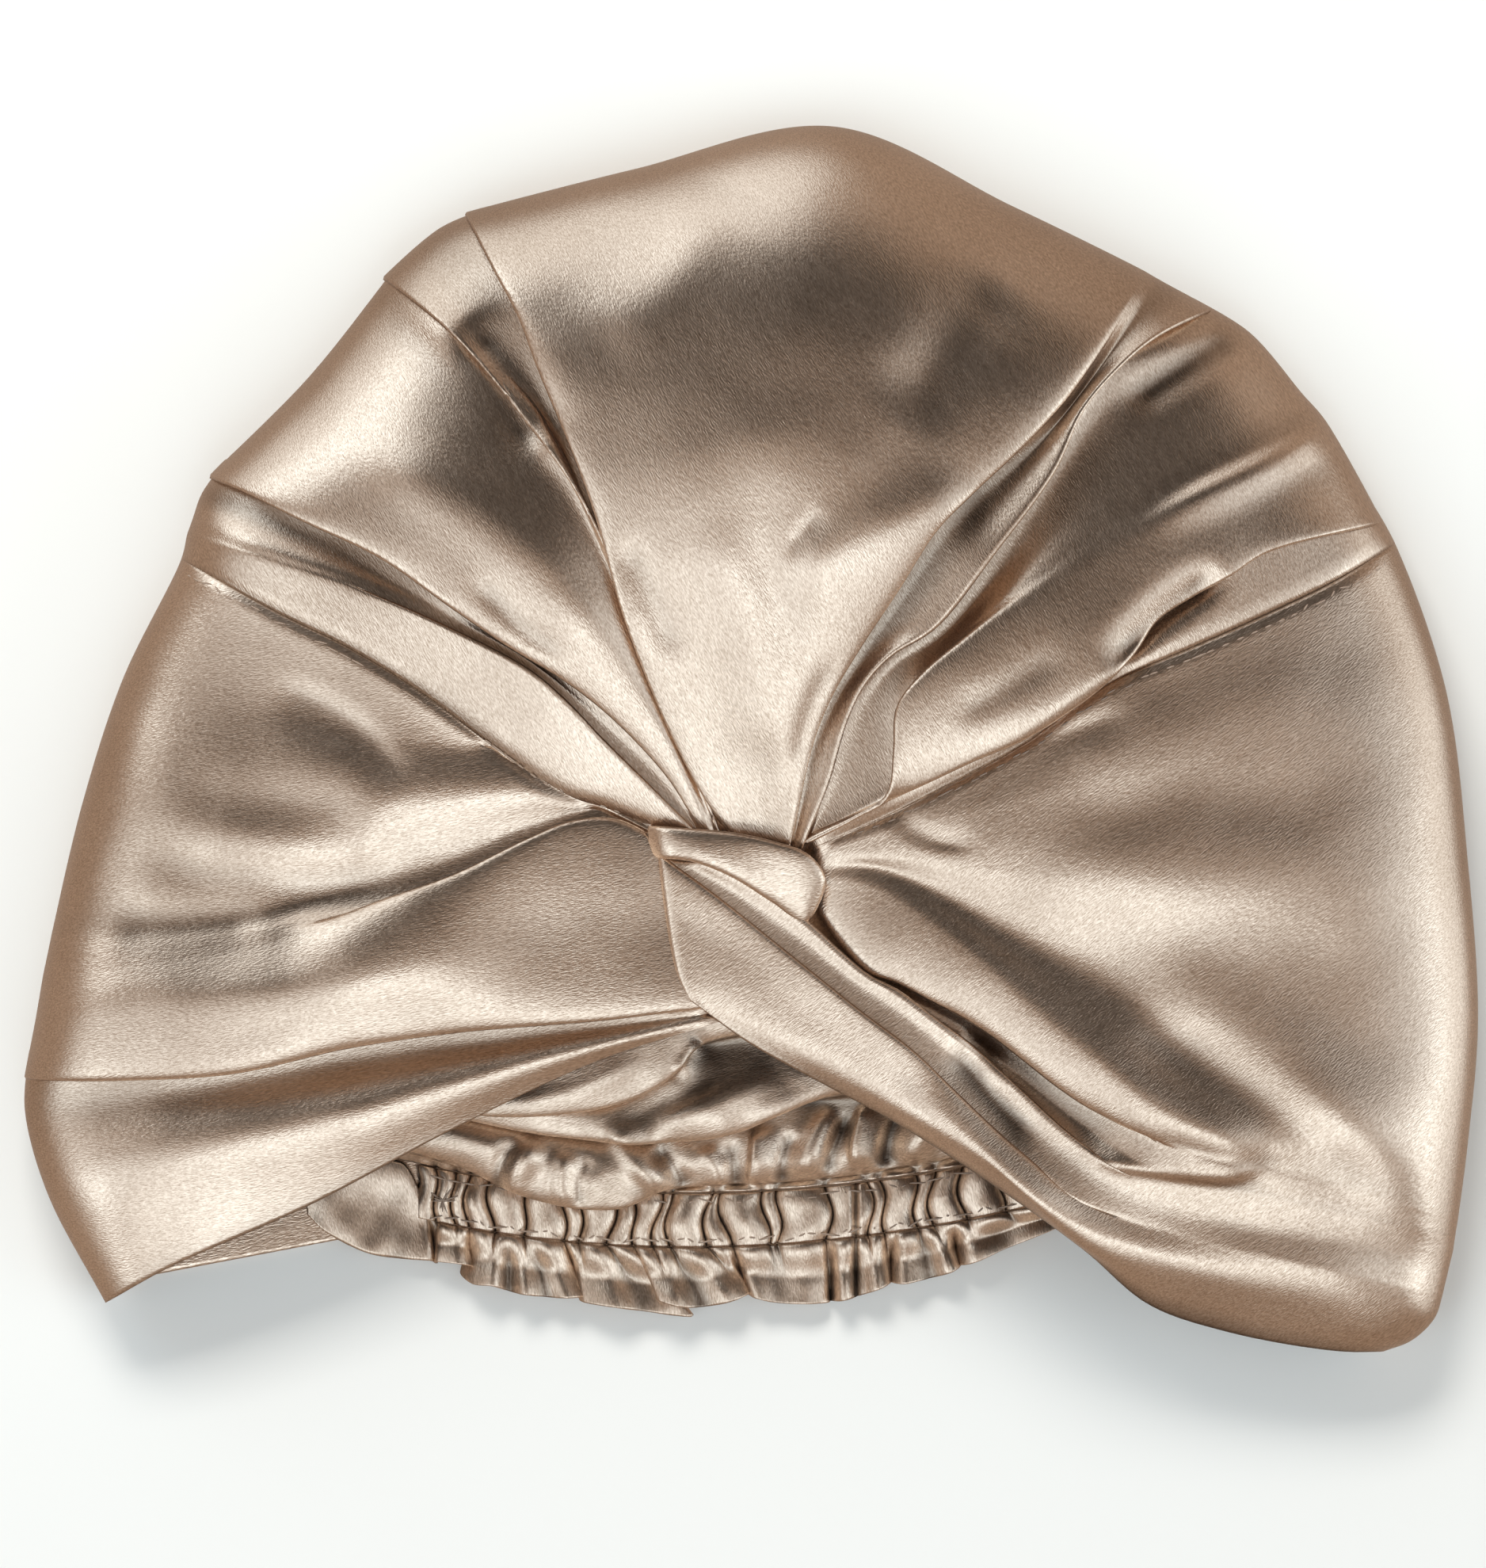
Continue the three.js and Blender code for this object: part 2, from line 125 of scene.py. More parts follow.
def nearestOn(path, flat):  # distance, side and share along a path, for each place
    best = np.full(len(flat), 1e9)
    side = np.ones(len(flat))
    along = np.zeros(len(flat))
    lengths = np.linalg.norm(np.diff(path, axis=0), axis=1)
    reached = 0.0
    for a, b, length in zip(path, path[1:], lengths):
        run = (b - a) / length
        offset = flat - a
        share = np.clip(offset @ run, 0, length)
        apart = offset - share[:, None] * run
        distance = np.hypot(apart[:, 0], apart[:, 1])
        closer = distance < best
        best = np.where(closer, distance, best)
        turn = run[0] * offset[:, 1] - run[1] * offset[:, 0]
        side = np.where(closer, np.sign(turn), side)
        along = np.where(closer, (reached + share) / lengths.sum(), along)
        reached += length
    return best, side, along


# A crease is a ridge or a valley along a path of shares. left and right are its widths on the two
# sides of the path, seen along it, and lean moves its crest sideways, to the left if positive.
def crease(name, path, rise, left, right, lean=0.0, fade=(0.25, 0.25)):
    return {"name": name, "path": path, "rise": rise * mm, "left": left * mm, "right": right * mm,
            "lean": lean * mm, "fade": fade}


def press(points, rows, mask):  # adds the creases to a sheet where mask is 1
    flat = points.reshape(-1, 3).copy()
    strength = np.broadcast_to(mask, points.shape[:-1]).reshape(-1)
    for row in rows:
        spots = [place(x, y) for x, y in row["path"]]
        path = lineThrough(spots, [curves["creaseSteps"]] * (len(spots) - 1))[:, :2]
        reach = curves["creaseReach"] * max(row["left"], row["right"])
        near = np.all((flat[:, :2] > path.min(0) - reach) & (flat[:, :2] < path.max(0) + reach), axis=1)
        near &= strength > 0
        if not near.any():
            continue
        distance, side, along = nearestOn(path, flat[near][:, :2])
        width = np.where(side > 0, row["left"], row["right"])
        start, stop = row["fade"]
        ends = smoothStep(-0.01, start, along) * (1 - smoothStep(1 - stop, 1.01, along))
        shape = np.exp(-((distance / width) ** 2)) * ends * strength[near]
        whole = path[-1] - path[0]
        across = np.array([-whole[1], whole[0]]) / np.linalg.norm(whole)
        flat[near, 2] += row["rise"] * shape
        flat[near, :2] += across * (row["lean"] * shape)[:, None]
    return flat.reshape(points.shape)


def rumple(points, size, depth, mask):  # soft unevenness of hand-laid cloth
    flat = points.reshape(-1, 3).copy()
    strength = np.broadcast_to(mask, points.shape[:-1]).reshape(-1)
    for i in np.nonzero(strength)[0]:
        x, y, _ = flat[i]
        flat[i, 2] += depth * strength[i] * noise.noise(Vector((x / size, y / size, 0.0)))
    return flat.reshape(points.shape)


# camera, floor and light

# height is what the picture takes in from bottom to top, at the level of the bonnet's middle
camera = {"distance": 1.8, "height": 0.3192, "x": -1.45 * mm, "y": -9.1 * mm, "level": 25 * mm,
          "sensor": 36, "farEnd": 20}


def makeCamera():
    data = bpy.data.cameras.new("photoCamera")
    data.sensor_width = camera["sensor"]
    data.lens = data.sensor_width * camera["distance"] / camera["height"]
    data.clip_end = camera["farEnd"]
    eye = bpy.data.objects.new("photoCamera", data)
    eye.location = (camera["x"], camera["y"], camera["level"] + camera["distance"])
    bpy.context.scene.collection.objects.link(eye)
    bpy.context.scene.camera = eye


studio = {
    "floorSize": 3.0,
    "floorColour": (0.87, 0.84, 0.775, 1),
    "floorRoughness": 0.75,
    # The room as the satin mirrors it: an even brightness with soft patches over it. A patch's middle is
    # given by its heading, from +X towards +Y, and its angle from straight above. All in degrees.
    "room": (0.395, 0.312, 0.252),
    "patches": [
        {"heading": 205, "down": 42, "inner": 2, "outer": 36, "colour": (0.98, 1.1, 1.22)},
        {"heading": 115, "down": 80, "inner": 6, "outer": 40, "colour": (1.2, 1.36, 1.5)},
        {"heading": 0, "down": 86, "inner": 8, "outer": 40, "colour": (1.22, 1.38, 1.52)},
        {"heading": 355, "down": 46, "inner": 4, "outer": 30, "colour": (0.9, 1.02, 1.14)},
        {"heading": 280, "down": 36, "inner": 4, "outer": 28, "colour": (1.32, 1.52, 1.7)},
        {"heading": 66, "down": 36, "inner": 10, "outer": 30, "colour": (0.02, 0.014, 0.01)},
        {"heading": 100, "down": 30, "inner": 5, "outer": 28, "colour": (0.02, 0.014, 0.01)},
        {"heading": 215, "down": 46, "inner": 0, "outer": 18, "colour": (1.9, 2.3, 2.65)},
        {"heading": 275, "down": 25, "inner": 0, "outer": 17, "colour": (2.1, 2.55, 2.95)},
        {"heading": 135, "down": 62, "inner": 0, "outer": 20, "colour": (2.1, 2.55, 2.95)},
        {"heading": 345, "down": 66, "inner": 0, "outer": 20, "colour": (2.1, 2.55, 2.95)},
    ],
    "keyPlace": (-0.35, 1.3, 1.15),
    "keySize": (0.9, 0.5),
    "keyPower": 22,
}


def makeStudio():
    bm = bmesh.new()
    bmesh.ops.create_grid(bm, x_segments=1, y_segments=1, size=studio["floorSize"])
    mesh = bpy.data.meshes.new("floor")
    bm.to_mesh(mesh)
    bm.free()
    floor = bpy.data.objects.new("floor", mesh)
    bpy.context.scene.collection.objects.link(floor)
    paint = bpy.data.materials.new("floorPaint")
    paint.use_nodes = True
    shader = paint.node_tree.nodes["Principled BSDF"]
    shader.inputs["Base Color"].default_value = studio["floorColour"]
    shader.inputs["Roughness"].default_value = studio["floorRoughness"]
    mesh.materials.append(paint)
    floor.visible_glossy = False  # keeps the white of the floor out of the satin's turned sides

    world = bpy.data.worlds.new("room")
    bpy.context.scene.world = world
    world.use_nodes = True
    nodes, links = world.node_tree.nodes, world.node_tree.links
    direction = nodes.new("ShaderNodeTexCoord")
    under = nodes.new("ShaderNodeRGB")
    under.outputs[0].default_value = (*studio["room"], 1)
    room = under.outputs[0]
    for patch in studio["patches"]:
        heading, down = math.radians(patch["heading"]), math.radians(patch["down"])
        near = nodes.new("ShaderNodeVectorMath")
        near.operation = "DOT_PRODUCT"
        level = math.sin(down)
        near.inputs[1].default_value = (level * math.cos(heading), level * math.sin(heading), math.cos(down))
        links.new(direction.outputs["Generated"], near.inputs[0])
        soft = nodes.new("ShaderNodeMapRange")
        soft.interpolation_type = "SMOOTHSTEP"
        soft.inputs["From Min"].default_value = math.cos(math.radians(patch["outer"]))
        soft.inputs["From Max"].default_value = math.cos(math.radians(patch["inner"]))
        links.new(near.outputs["Value"], soft.inputs["Value"])
        over = nodes.new("ShaderNodeMix")
        over.data_type = "RGBA"
        over.inputs["B"].default_value = (*patch["colour"], 1)
        links.new(soft.outputs[0], over.inputs["Factor"])
        links.new(room, over.inputs["A"])
        room = over.outputs["Result"]
    links.new(room, nodes["Background"].inputs["Color"])

    data = bpy.data.lights.new("windowLight", "AREA")
    data.shape = "RECTANGLE"
    data.size, data.size_y = studio["keySize"]
    data.energy = studio["keyPower"]
    window = bpy.data.objects.new("windowLight", data)
    window.location = studio["keyPlace"]
    window.rotation_euler = (-Vector(studio["keyPlace"])).to_track_quat("-Z", "Y").to_euler()
    window.visible_glossy = False  # the satin mirrors the room and not this one lamp
    bpy.context.scene.collection.objects.link(window)
    bpy.context.scene.view_settings.view_transform = "Standard"


makeCamera()
makeStudio()
print("camera and studio ready")


# satin

satinFinish = {
    "colour": (0.84, 0.65, 0.5, 1),
    "deepColour": (0.45, 0.315, 0.22, 1),
    "metallic": 0.98,
    "roughness": 0.29,
    "sheen": 0.02,
    "sheenRoughness": 0.4,
    "sheenTint": (1.0, 0.9, 0.8, 1),
    "threads": (1000, 3600, 2400),  # grain of the weave per metre, long along the threads
    "threadDepth": 0.42,
    "threadHeight": 0.15 * mm,
    "threadTone": 1.6,  # how much the weave shows in the colour
    "threadLevel": 0.35,  # the grain's value that leaves the colour as it is
    "slubs": (180, 900, 500),
    "slubShare": 0.35,
    "toneSize": 22,
    "toneRange": (0.3, 0.7),
    "toneShare": 0.35,
    "roughRange": (-0.04, 0.05),
    # painted shade: a near-black colour mixed into the satin's colour in the folds, where the cloth lies
    # under its surroundings
    "paintedShadeColour": (0.05, 0.034, 0.024, 1),  # down in the folds, where little light comes
    "paintedShadeStrength": 0.95,
}
liningFinish = {**satinFinish, "colour": (0.86, 0.67, 0.52, 1), "deepColour": (0.48, 0.35, 0.245, 1),
                "roughness": 0.36}


def makeSatin(name, finish, angle):  # angle is how the threads run on the panel, in degrees
    material = bpy.data.materials.new(name)
    material.use_nodes = True
    nodes, links = material.node_tree.nodes, material.node_tree.links
    shader = nodes["Principled BSDF"]
    shader.inputs["Metallic"].default_value = finish["metallic"]
    shader.inputs["Sheen Weight"].default_value = finish["sheen"]
    shader.inputs["Sheen Roughness"].default_value = finish["sheenRoughness"]
    shader.inputs["Sheen Tint"].default_value = finish["sheenTint"]

    where = nodes.new("ShaderNodeTexCoord")
    turned = nodes.new("ShaderNodeMapping")
    turned.inputs["Rotation"].default_value[2] = math.radians(angle)
    links.new(where.outputs["Object"], turned.inputs["Vector"])

    def grain(scale, detail):
        stretched = nodes.new("ShaderNodeMapping")
        stretched.inputs["Scale"].default_value = scale
        texture = nodes.new("ShaderNodeTexNoise")
        texture.inputs["Scale"].default_value = 1
        texture.inputs["Detail"].default_value = detail
        links.new(turned.outputs[0], stretched.inputs["Vector"])
        links.new(stretched.outputs[0], texture.inputs["Vector"])
        return texture.outputs["Fac"]

    threads = grain(finish["threads"], 1)
    slubs = grain(finish["slubs"], 2)
    tone = grain((finish["toneSize"],) * 3, 2)

    blend = nodes.new("ShaderNodeMath")
    blend.operation = "MULTIPLY_ADD"
    blend.inputs[1].default_value = finish["slubShare"]
    links.new(slubs, blend.inputs[0])
    links.new(threads, blend.inputs[2])

    bump = nodes.new("ShaderNodeBump")
    bump.inputs["Strength"].default_value = finish["threadDepth"]
    bump.inputs["Distance"].default_value = finish["threadHeight"]
    links.new(blend.outputs[0], bump.inputs["Height"])
    links.new(bump.outputs["Normal"], shader.inputs["Normal"])

    shade = nodes.new("ShaderNodeMapRange")
    shade.inputs["From Min"].default_value, shade.inputs["From Max"].default_value = finish["toneRange"]
    shade.inputs["To Max"].default_value = finish["toneShare"]
    links.new(tone, shade.inputs["Value"])
    woven = nodes.new("ShaderNodeMath")
    woven.operation = "MULTIPLY_ADD"
    woven.use_clamp = True
    woven.inputs[1].default_value = finish["threadTone"]
    even = nodes.new("ShaderNodeMath")
    even.operation = "SUBTRACT"
    even.inputs[1].default_value = finish["threadLevel"]
    links.new(threads, even.inputs[0])
    links.new(even.outputs[0], woven.inputs[0])
    links.new(shade.outputs[0], woven.inputs[2])
    mixed = nodes.new("ShaderNodeMix")
    mixed.data_type = "RGBA"
    mixed.inputs["A"].default_value = finish["colour"]
    mixed.inputs["B"].default_value = finish["deepColour"]
    links.new(woven.outputs[0], mixed.inputs["Factor"])

    # painted shade: the hollow attribute darkens the base colour towards the painted shade colour down in the
    # folds
    hollow = nodes.new("ShaderNodeAttribute")
    hollow.attribute_name = "hollow"
    depth = nodes.new("ShaderNodeMath")
    depth.operation = "MULTIPLY"
    depth.inputs[1].default_value = finish["paintedShadeStrength"]
    links.new(hollow.outputs["Fac"], depth.inputs[0])
    shaded = nodes.new("ShaderNodeMix")
    shaded.data_type = "RGBA"
    shaded.inputs["B"].default_value = finish["paintedShadeColour"]
    links.new(depth.outputs[0], shaded.inputs["Factor"])
    links.new(mixed.outputs["Result"], shaded.inputs["A"])
    links.new(shaded.outputs["Result"], shader.inputs["Base Color"])

    rough = nodes.new("ShaderNodeMapRange")
    lowest, highest = finish["roughRange"]
    rough.inputs["To Min"].default_value = finish["roughness"] + lowest
    rough.inputs["To Max"].default_value = finish["roughness"] + highest
    links.new(slubs, rough.inputs["Value"])
    links.new(rough.outputs[0], shader.inputs["Roughness"])
    return material


crownSatin = makeSatin("crownSatin", satinFinish, 60)
leftSatin = makeSatin("leftSatin", satinFinish, -12)
rightSatin = makeSatin("rightSatin", satinFinish, -38)
liningSatin = makeSatin("liningSatin", liningFinish, -20)
napeSatin = makeSatin("napeSatin", liningFinish, 80)


# sheets of cloth

def around(heights, reach, axis):  # the average height within reach steps to both sides
    edge = [(reach + 1, reach) if k == axis else (0, 0) for k in range(2)]
    total = np.cumsum(np.pad(heights, edge, mode="edge"), axis=axis)
    span = 2 * reach + 1
    return (np.take(total, range(span, total.shape[axis]), axis) -
            np.take(total, range(total.shape[axis] - span), axis)) / span


# painted shade in the folds: 1 where the cloth lies depth under its surroundings, which reach along and
# across the sheet in points
def paintedShadeOf(points, along, across, depth):
    heights = points[..., 2]
    level = around(around(heights, along, 0), across, 1)
    return np.clip((level - heights) / depth, 0, 1)


def makeSheet(name, points, material, cloth=bonnet["cloth"], paintedShade=None):  # points[column, row]
    columns, rows, _ = points.shape
    bm = bmesh.new()
    bm.loops.layers.uv.new("UVMap")
    bmesh.ops.create_grid(bm, x_segments=columns - 1, y_segments=rows - 1, size=1, calc_uvs=True)
    mesh = bpy.data.meshes.new(name)
    bm.to_mesh(mesh)
    bm.free()
    mesh.vertices.foreach_set("co", points.transpose(1, 0, 2).astype(np.float32).ravel())
    mesh.polygons.foreach_set("use_smooth", [True] * len(mesh.polygons))
    mesh.update()
    # painted shade, kept in the hollow attribute that darkens the satin's colour in the folds
    if paintedShade is not None:
        shade = mesh.attributes.new("hollow", "FLOAT", "POINT")
        shade.data.foreach_set("value", paintedShade.T.astype(np.float32).ravel())
    piece = bpy.data.objects.new(name, mesh)
    bpy.context.scene.collection.objects.link(piece)
    wall = piece.modifiers.new("wall", "SOLIDIFY")
    wall.thickness = cloth
    wall.offset = 0
    mesh.materials.append(material)
    return piece


def sheetArea(points):
    a = points[1:, :-1] - points[:-1, :-1]
    b = points[:-1, 1:] - points[:-1, :-1]
    return float(np.linalg.norm(np.cross(a, b), axis=-1).sum())


# The front fan. Each fold runs from the twist out to the rolled side, in shares. knot is its layer in
# the twist, mid and outer its height halfway and further out, as shares of the puff. A lip's cloth
# turns back under it: under is by how much, in mm, towards the fold before (-) or after (+) it.
# end is how far the cloth runs on under the twist, in mm, or turns back at a folded edge (-).
# until is the share of its length at which outer is reached, and lips that fade do it before that.
def fold(name, path, knot, mid, outer=None, under=0.0, end=5.0, until=0.85, fades=False):
    return {"name": name, "path": path, "knot": knot, "mid": mid, "outer": mid if outer is None else outer,
            "under": under * mm, "end": end * mm, "until": until, "fades": fades}


leftFolds = [
    fold("lower edge", [(-0.062, -0.464), (-0.2, -0.515), (-0.4, -0.628), (-0.6, -0.755), (-0.8, -0.862),
                        (-0.885, -0.92)], -0.5, 0.46, 0.44, end=9),
    fold("lobe", [(-0.066, -0.455), (-0.3, -0.525), (-0.52, -0.6), (-0.965, -0.74)], -0.4, 0.56, 0.55, end=9),
    fold("under the roll", [(-0.07, -0.446), (-0.3, -0.478), (-0.53, -0.515), (-0.75, -0.562),
                            (-0.996, -0.6)], -0.6, 0.5, 0.5, end=9),
    fold("roll lip", [(-0.078, -0.434), (-0.2, -0.452), (-0.4, -0.472), (-0.55, -0.498), (-0.7, -0.538),
                      (-0.85, -0.55), (-0.996, -0.552)], 0.2, 0.7, 0.69, under=-6, end=9),
    fold("roll crest", [(-0.1, -0.3), (-0.52, -0.39), (-0.98, -0.455)], 0.4, 0.8, 0.74, end=9),
    fold("roll top", [(-0.125, -0.165), (-0.18, -0.132), (-0.24, -0.134), (-0.30, -0.162), (-0.40, -0.22),
                      (-0.50, -0.262), (-0.65, -0.325), (-0.97, -0.385)], 0.5, 0.76, 0.7, under=3, end=9,
         until=0.62, fades=True),
    fold("wing hollow", [(-0.128, -0.155), (-0.2, -0.116), (-0.3, -0.142), (-0.40, -0.197), (-0.52, -0.24),
                         (-0.68, -0.28), (-0.955, -0.3)], -0.3, 0.64, 0.66, end=9),
    fold("wing ridge", [(-0.131, -0.150), (-0.25, -0.09), (-0.45, -0.1), (-0.68, -0.14), (-0.915, -0.1)],
         0, 0.7, 0.7, end=7),
    fold("wing top", [(-0.133, -0.147), (-0.3, -0.03), (-0.45, 0.0), (-0.86, 0.1)], 0, 0.68, 0.66, end=5),
]
crownFolds = [
    fold("left seam", [(-0.132, -0.142), (-0.2, -0.108), (-0.26, -0.085), (-0.35, -0.01), (-0.45, 0.078),
                       (-0.55, 0.15), (-0.64, 0.203), (-0.78, 0.295)], 0, 0.7),
    fold("low lip", [(-0.085, -0.14), (-0.126, -0.09), (-0.202, 0.0), (-0.25, 0.06), (-0.30, 0.11),
                     (-0.40, 0.173), (-0.52, 0.235), (-0.65, 0.285), (-0.772, 0.335)],
         0.5, 0.82, 0.75, under=5, until=0.72, fades=True),
    fold("low hollow", [(-0.08, -0.138), (-0.12, -0.078), (-0.195, 0.013), (-0.29, 0.118), (-0.40, 0.188),
                        (-0.52, 0.252), (-0.64, 0.303), (-0.764, 0.362)], -0.3, 0.71, 0.75),
    fold("side hollow", [(-0.075, -0.137), (-0.115, -0.068), (-0.19, 0.026), (-0.30, 0.132), (-0.45, 0.235),
                         (-0.60, 0.325), (-0.752, 0.402)], -0.4, 0.72, 0.7),
    fold("side lip", [(-0.07, -0.139), (-0.11, -0.062), (-0.185, 0.034), (-0.25, 0.095), (-0.33, 0.153),
                      (-0.40, 0.21), (-0.50, 0.293), (-0.60, 0.35), (-0.68, 0.397), (-0.742, 0.43)],
         0.1, 0.85, 0.82, under=-5),
    fold("side panel", [(-0.06, -0.139), (-0.13, 0.03), (-0.3, 0.3), (-0.61, 0.585)], 0.2, 0.89, 0.87),
    fold("notch", [(-0.052, -0.139), (-0.14, 0.13), (-0.24, 0.383), (-0.31, 0.495), (-0.41, 0.635),
                   (-0.515, 0.726)], -0.1, 0.86, 0.81),
    fold("shoulder", [(-0.047, -0.14), (-0.13, 0.13), (-0.232, 0.395), (-0.30, 0.508), (-0.398, 0.648),
                      (-0.503, 0.755)], 0.1, 0.89, 0.87, under=-3),
    fold("tongue hollow", [(-0.042, -0.14), (-0.1, 0.02), (-0.17, 0.215), (-0.222, 0.37), (-0.295, 0.59),
                           (-0.35, 0.73), (-0.425, 0.835)], -0.6, 0.81, 0.82),
    fold("tongue left lip", [(-0.032, -0.141), (-0.06, -0.095), (-0.11, 0.02), (-0.17, 0.20), (-0.205, 0.35),
                             (-0.235, 0.45), (-0.287, 0.60), (-0.312, 0.68), (-0.345, 0.755), (-0.39, 0.86)],
         0.4, 0.92, 0.92, under=-6),
    fold("tongue left", [(-0.01, -0.145), (-0.05, 0.1), (-0.1, 0.4), (-0.16, 0.93)], 0.3, 0.98, 0.97),
    fold("tongue peak", [(0.01, -0.15), (0.03, 0.4), (0.115, 1)], 0.2, 1, 1),
    fold("tongue right", [(0.03, -0.153), (0.14, 0.34), (0.36, 0.87)], 0.2, 0.99, 0.99),
    fold("tongue right lip", [(0.055, -0.157), (0.085, 0.0), (0.11, 0.072), (0.15, 0.152), (0.20, 0.242),
                              (0.25, 0.335), (0.295, 0.39), (0.39, 0.50), (0.46, 0.61), (0.54, 0.765)],
         0.4, 0.93, 0.94, under=4, until=0.78, fades=True),
    fold("strip hollow", [(0.06, -0.157), (0.093, -0.002), (0.12, 0.068), (0.16, 0.145), (0.212, 0.236),
                          (0.262, 0.326), (0.31, 0.382), (0.405, 0.495), (0.565, 0.748)], -0.4, 0.82, 0.85),
    fold("strip lip", [(0.075, -0.158), (0.105, -0.07), (0.13, 0.03), (0.155, 0.09), (0.19, 0.135),
                       (0.25, 0.18), (0.33, 0.30), (0.41, 0.43), (0.45, 0.53), (0.50, 0.60), (0.55, 0.65),
                       (0.635, 0.703)], 0.5, 0.88, 0.87, under=5),
    fold("panel hollow", [(0.08, -0.159), (0.112, -0.075), (0.138, 0.02), (0.165, 0.08), (0.2, 0.122),
                          (0.262, 0.168), (0.345, 0.29), (0.472, 0.522), (0.56, 0.62), (0.685, 0.665)],
         -0.6, 0.71, 0.72),
    fold("panel ridge", [(0.086, -0.161), (0.14, -0.128), (0.187, -0.09), (0.196, -0.02), (0.2, 0.05),
                         (0.235, 0.105), (0.3, 0.165), (0.4, 0.24), (0.51, 0.315), (0.60, 0.368),
                         (0.70, 0.435), (0.79, 0.52)],
         0.6, 0.85, 0.79, under=-3.5, until=0.42, fades=True),
    fold("panel lip", [(0.094, -0.150), (0.158, -0.113), (0.238, -0.07), (0.306, -0.032), (0.37, 0.0),
                       (0.43, 0.045), (0.48, 0.09), (0.52, 0.14), (0.55, 0.192), (0.60, 0.232), (0.65, 0.265),
                       (0.70, 0.303), (0.868, 0.355)], 0.3, 0.81, 0.78, under=5),
]
rightFolds = [
    fold("right seam", [(0.1, -0.168), (0.2, -0.115), (0.3, -0.055), (0.375, -0.005), (0.45, 0.06),
                        (0.50, 0.097), (0.60, 0.147), (0.70, 0.20), (0.80, 0.258), (0.885, 0.32)],
         -0.3, 0.69, 0.7),
    fold("wing top", [(0.1, -0.178), (0.25, -0.135), (0.45, -0.08), (0.955, 0.08)], -0.6, 0.71, 0.7),
    fold("wing middle", [(0.099, -0.19), (0.2, -0.19), (0.45, -0.22), (0.985, -0.2)], -0.8, 0.7),
    fold("wing valley", [(0.096, -0.206), (0.18, -0.21), (0.4, -0.34), (0.7, -0.5), (0.999, -0.46)],
         -1, 0.64, 0.68),
    fold("wing ridge", [(0.091, -0.228), (0.16, -0.24), (0.28, -0.33), (0.42, -0.475), (0.6, -0.62),
                        (0.985, -0.66)], -1.2, 0.72, 0.7),
    fold("wing lip", [(0.083, -0.252), (0.11, -0.31), (0.162, -0.378), (0.198, -0.392), (0.25, -0.424),
                      (0.29, -0.448), (0.334, -0.482), (0.377, -0.522), (0.42, -0.562), (0.47, -0.60),
                      (0.60, -0.658), (0.71, -0.69), (0.972, -0.78)], -2.2, 0.65, 0.655, under=4, until=0.66,
         fades=True),
    fold("gap", [(0.07, -0.272), (0.12, -0.35), (0.2, -0.402), (0.285, -0.458), (0.36, -0.535), (0.45, -0.62),
                 (0.565, -0.69), (0.968, -0.81)], -3.5, 0.44, 0.628, until=0.66),
    fold("second roll edge", [(-0.05, -0.203), (0.0, -0.232), (0.045, -0.268), (0.08, -0.298),
                              (0.118, -0.340), (0.162, -0.384), (0.20, -0.407), (0.25, -0.452),
                              (0.30, -0.495), (0.36, -0.56), (0.45, -0.655), (0.55, -0.725), (0.965, -0.835)],
         1.3, 0.6, 0.615, under=-3, end=8, until=0.66, fades=True),
    fold("second roll", [(-0.09, -0.2), (-0.02, -0.25), (0.06, -0.32), (0.14, -0.395), (0.22, -0.46),
                         (0.3, -0.545), (0.38, -0.63), (0.5, -0.735), (0.96, -0.86)], 1.1, 0.6, 0.6, end=-6,
         until=0.66),
    fold("strap crease", [(-0.116, -0.195), (-0.05, -0.252), (0.02, -0.318), (0.09, -0.385), (0.15, -0.442),
                          (0.22, -0.505), (0.27, -0.562), (0.33, -0.63), (0.38, -0.682), (0.455, -0.752),
                          (0.95, -0.91)], 1.5, 0.645, 0.59, under=-2.5, end=-6, until=0.7,
         fades=True),
    fold("strap crest", [(-0.107, -0.285), (-0.02, -0.35), (0.06, -0.42), (0.13, -0.48), (0.2, -0.545),
                         (0.3, -0.65), (0.45, -0.79), (0.94, -0.945)], 1.3, 0.63, 0.55, end=-6),
    fold("strap front", [(-0.092, -0.385), (0.0, -0.455), (0.11, -0.53), (0.22, -0.61), (0.35, -0.715),
                         (0.48, -0.835), (0.91, -0.98)], 0.9, 0.595, 0.49, end=-6),
    fold("lower edge", [(-0.078, -0.425), (0.0, -0.492), (0.1, -0.557), (0.2, -0.62), (0.35, -0.735),
                        (0.46, -0.83), (0.545, -0.917), (0.65, -0.962), (0.8, -0.995), (0.872, -0.998)],
         0.6, 0.5, 0.38, end=-6),
]
allFolds = [*leftFolds, *crownFolds, *rightFolds]

fan = {
    "front": 96, "roll": 9, "back": 14, "endRows": 6,  # rows of the grid, from the twist outwards
    "rowBend": 1.15,  # higher brings the rows closer together at the twist
    "columnStep": 1.0 * mm, "least": 5, "most": 46,  # columns between two folds
    "measure": 80,  # percentile of the gap between two folds that sets their number
    "bendRadius": 1.3 * mm, "endDrop": 3.5 * mm,
    "rollFrom": 8,  # rows back from the side that say which way is inward
    "bendShare": 1.5,  # a turned edge has made its bend after one part in this of its rows
    "flatBefore": 0.94,  # creases end between here and the rolled side
}
under = {
    "from": 0.2,  # share of a fold at which a lip turns under by its full depth
    "most": 0.6,  # of the room up to the fold behind it
    "drop": 0.55,  # of the height down to the hollow in front of it
    "fade": 0.25,  # share of a fold over which a lip that fades does so
    "faded": 0.3,  # how far down to the hollow the hidden line then lies
}
frontStations = np.sin(np.pi / 2 * np.linspace(0, 1, fan["front"]) ** fan["rowBend"])


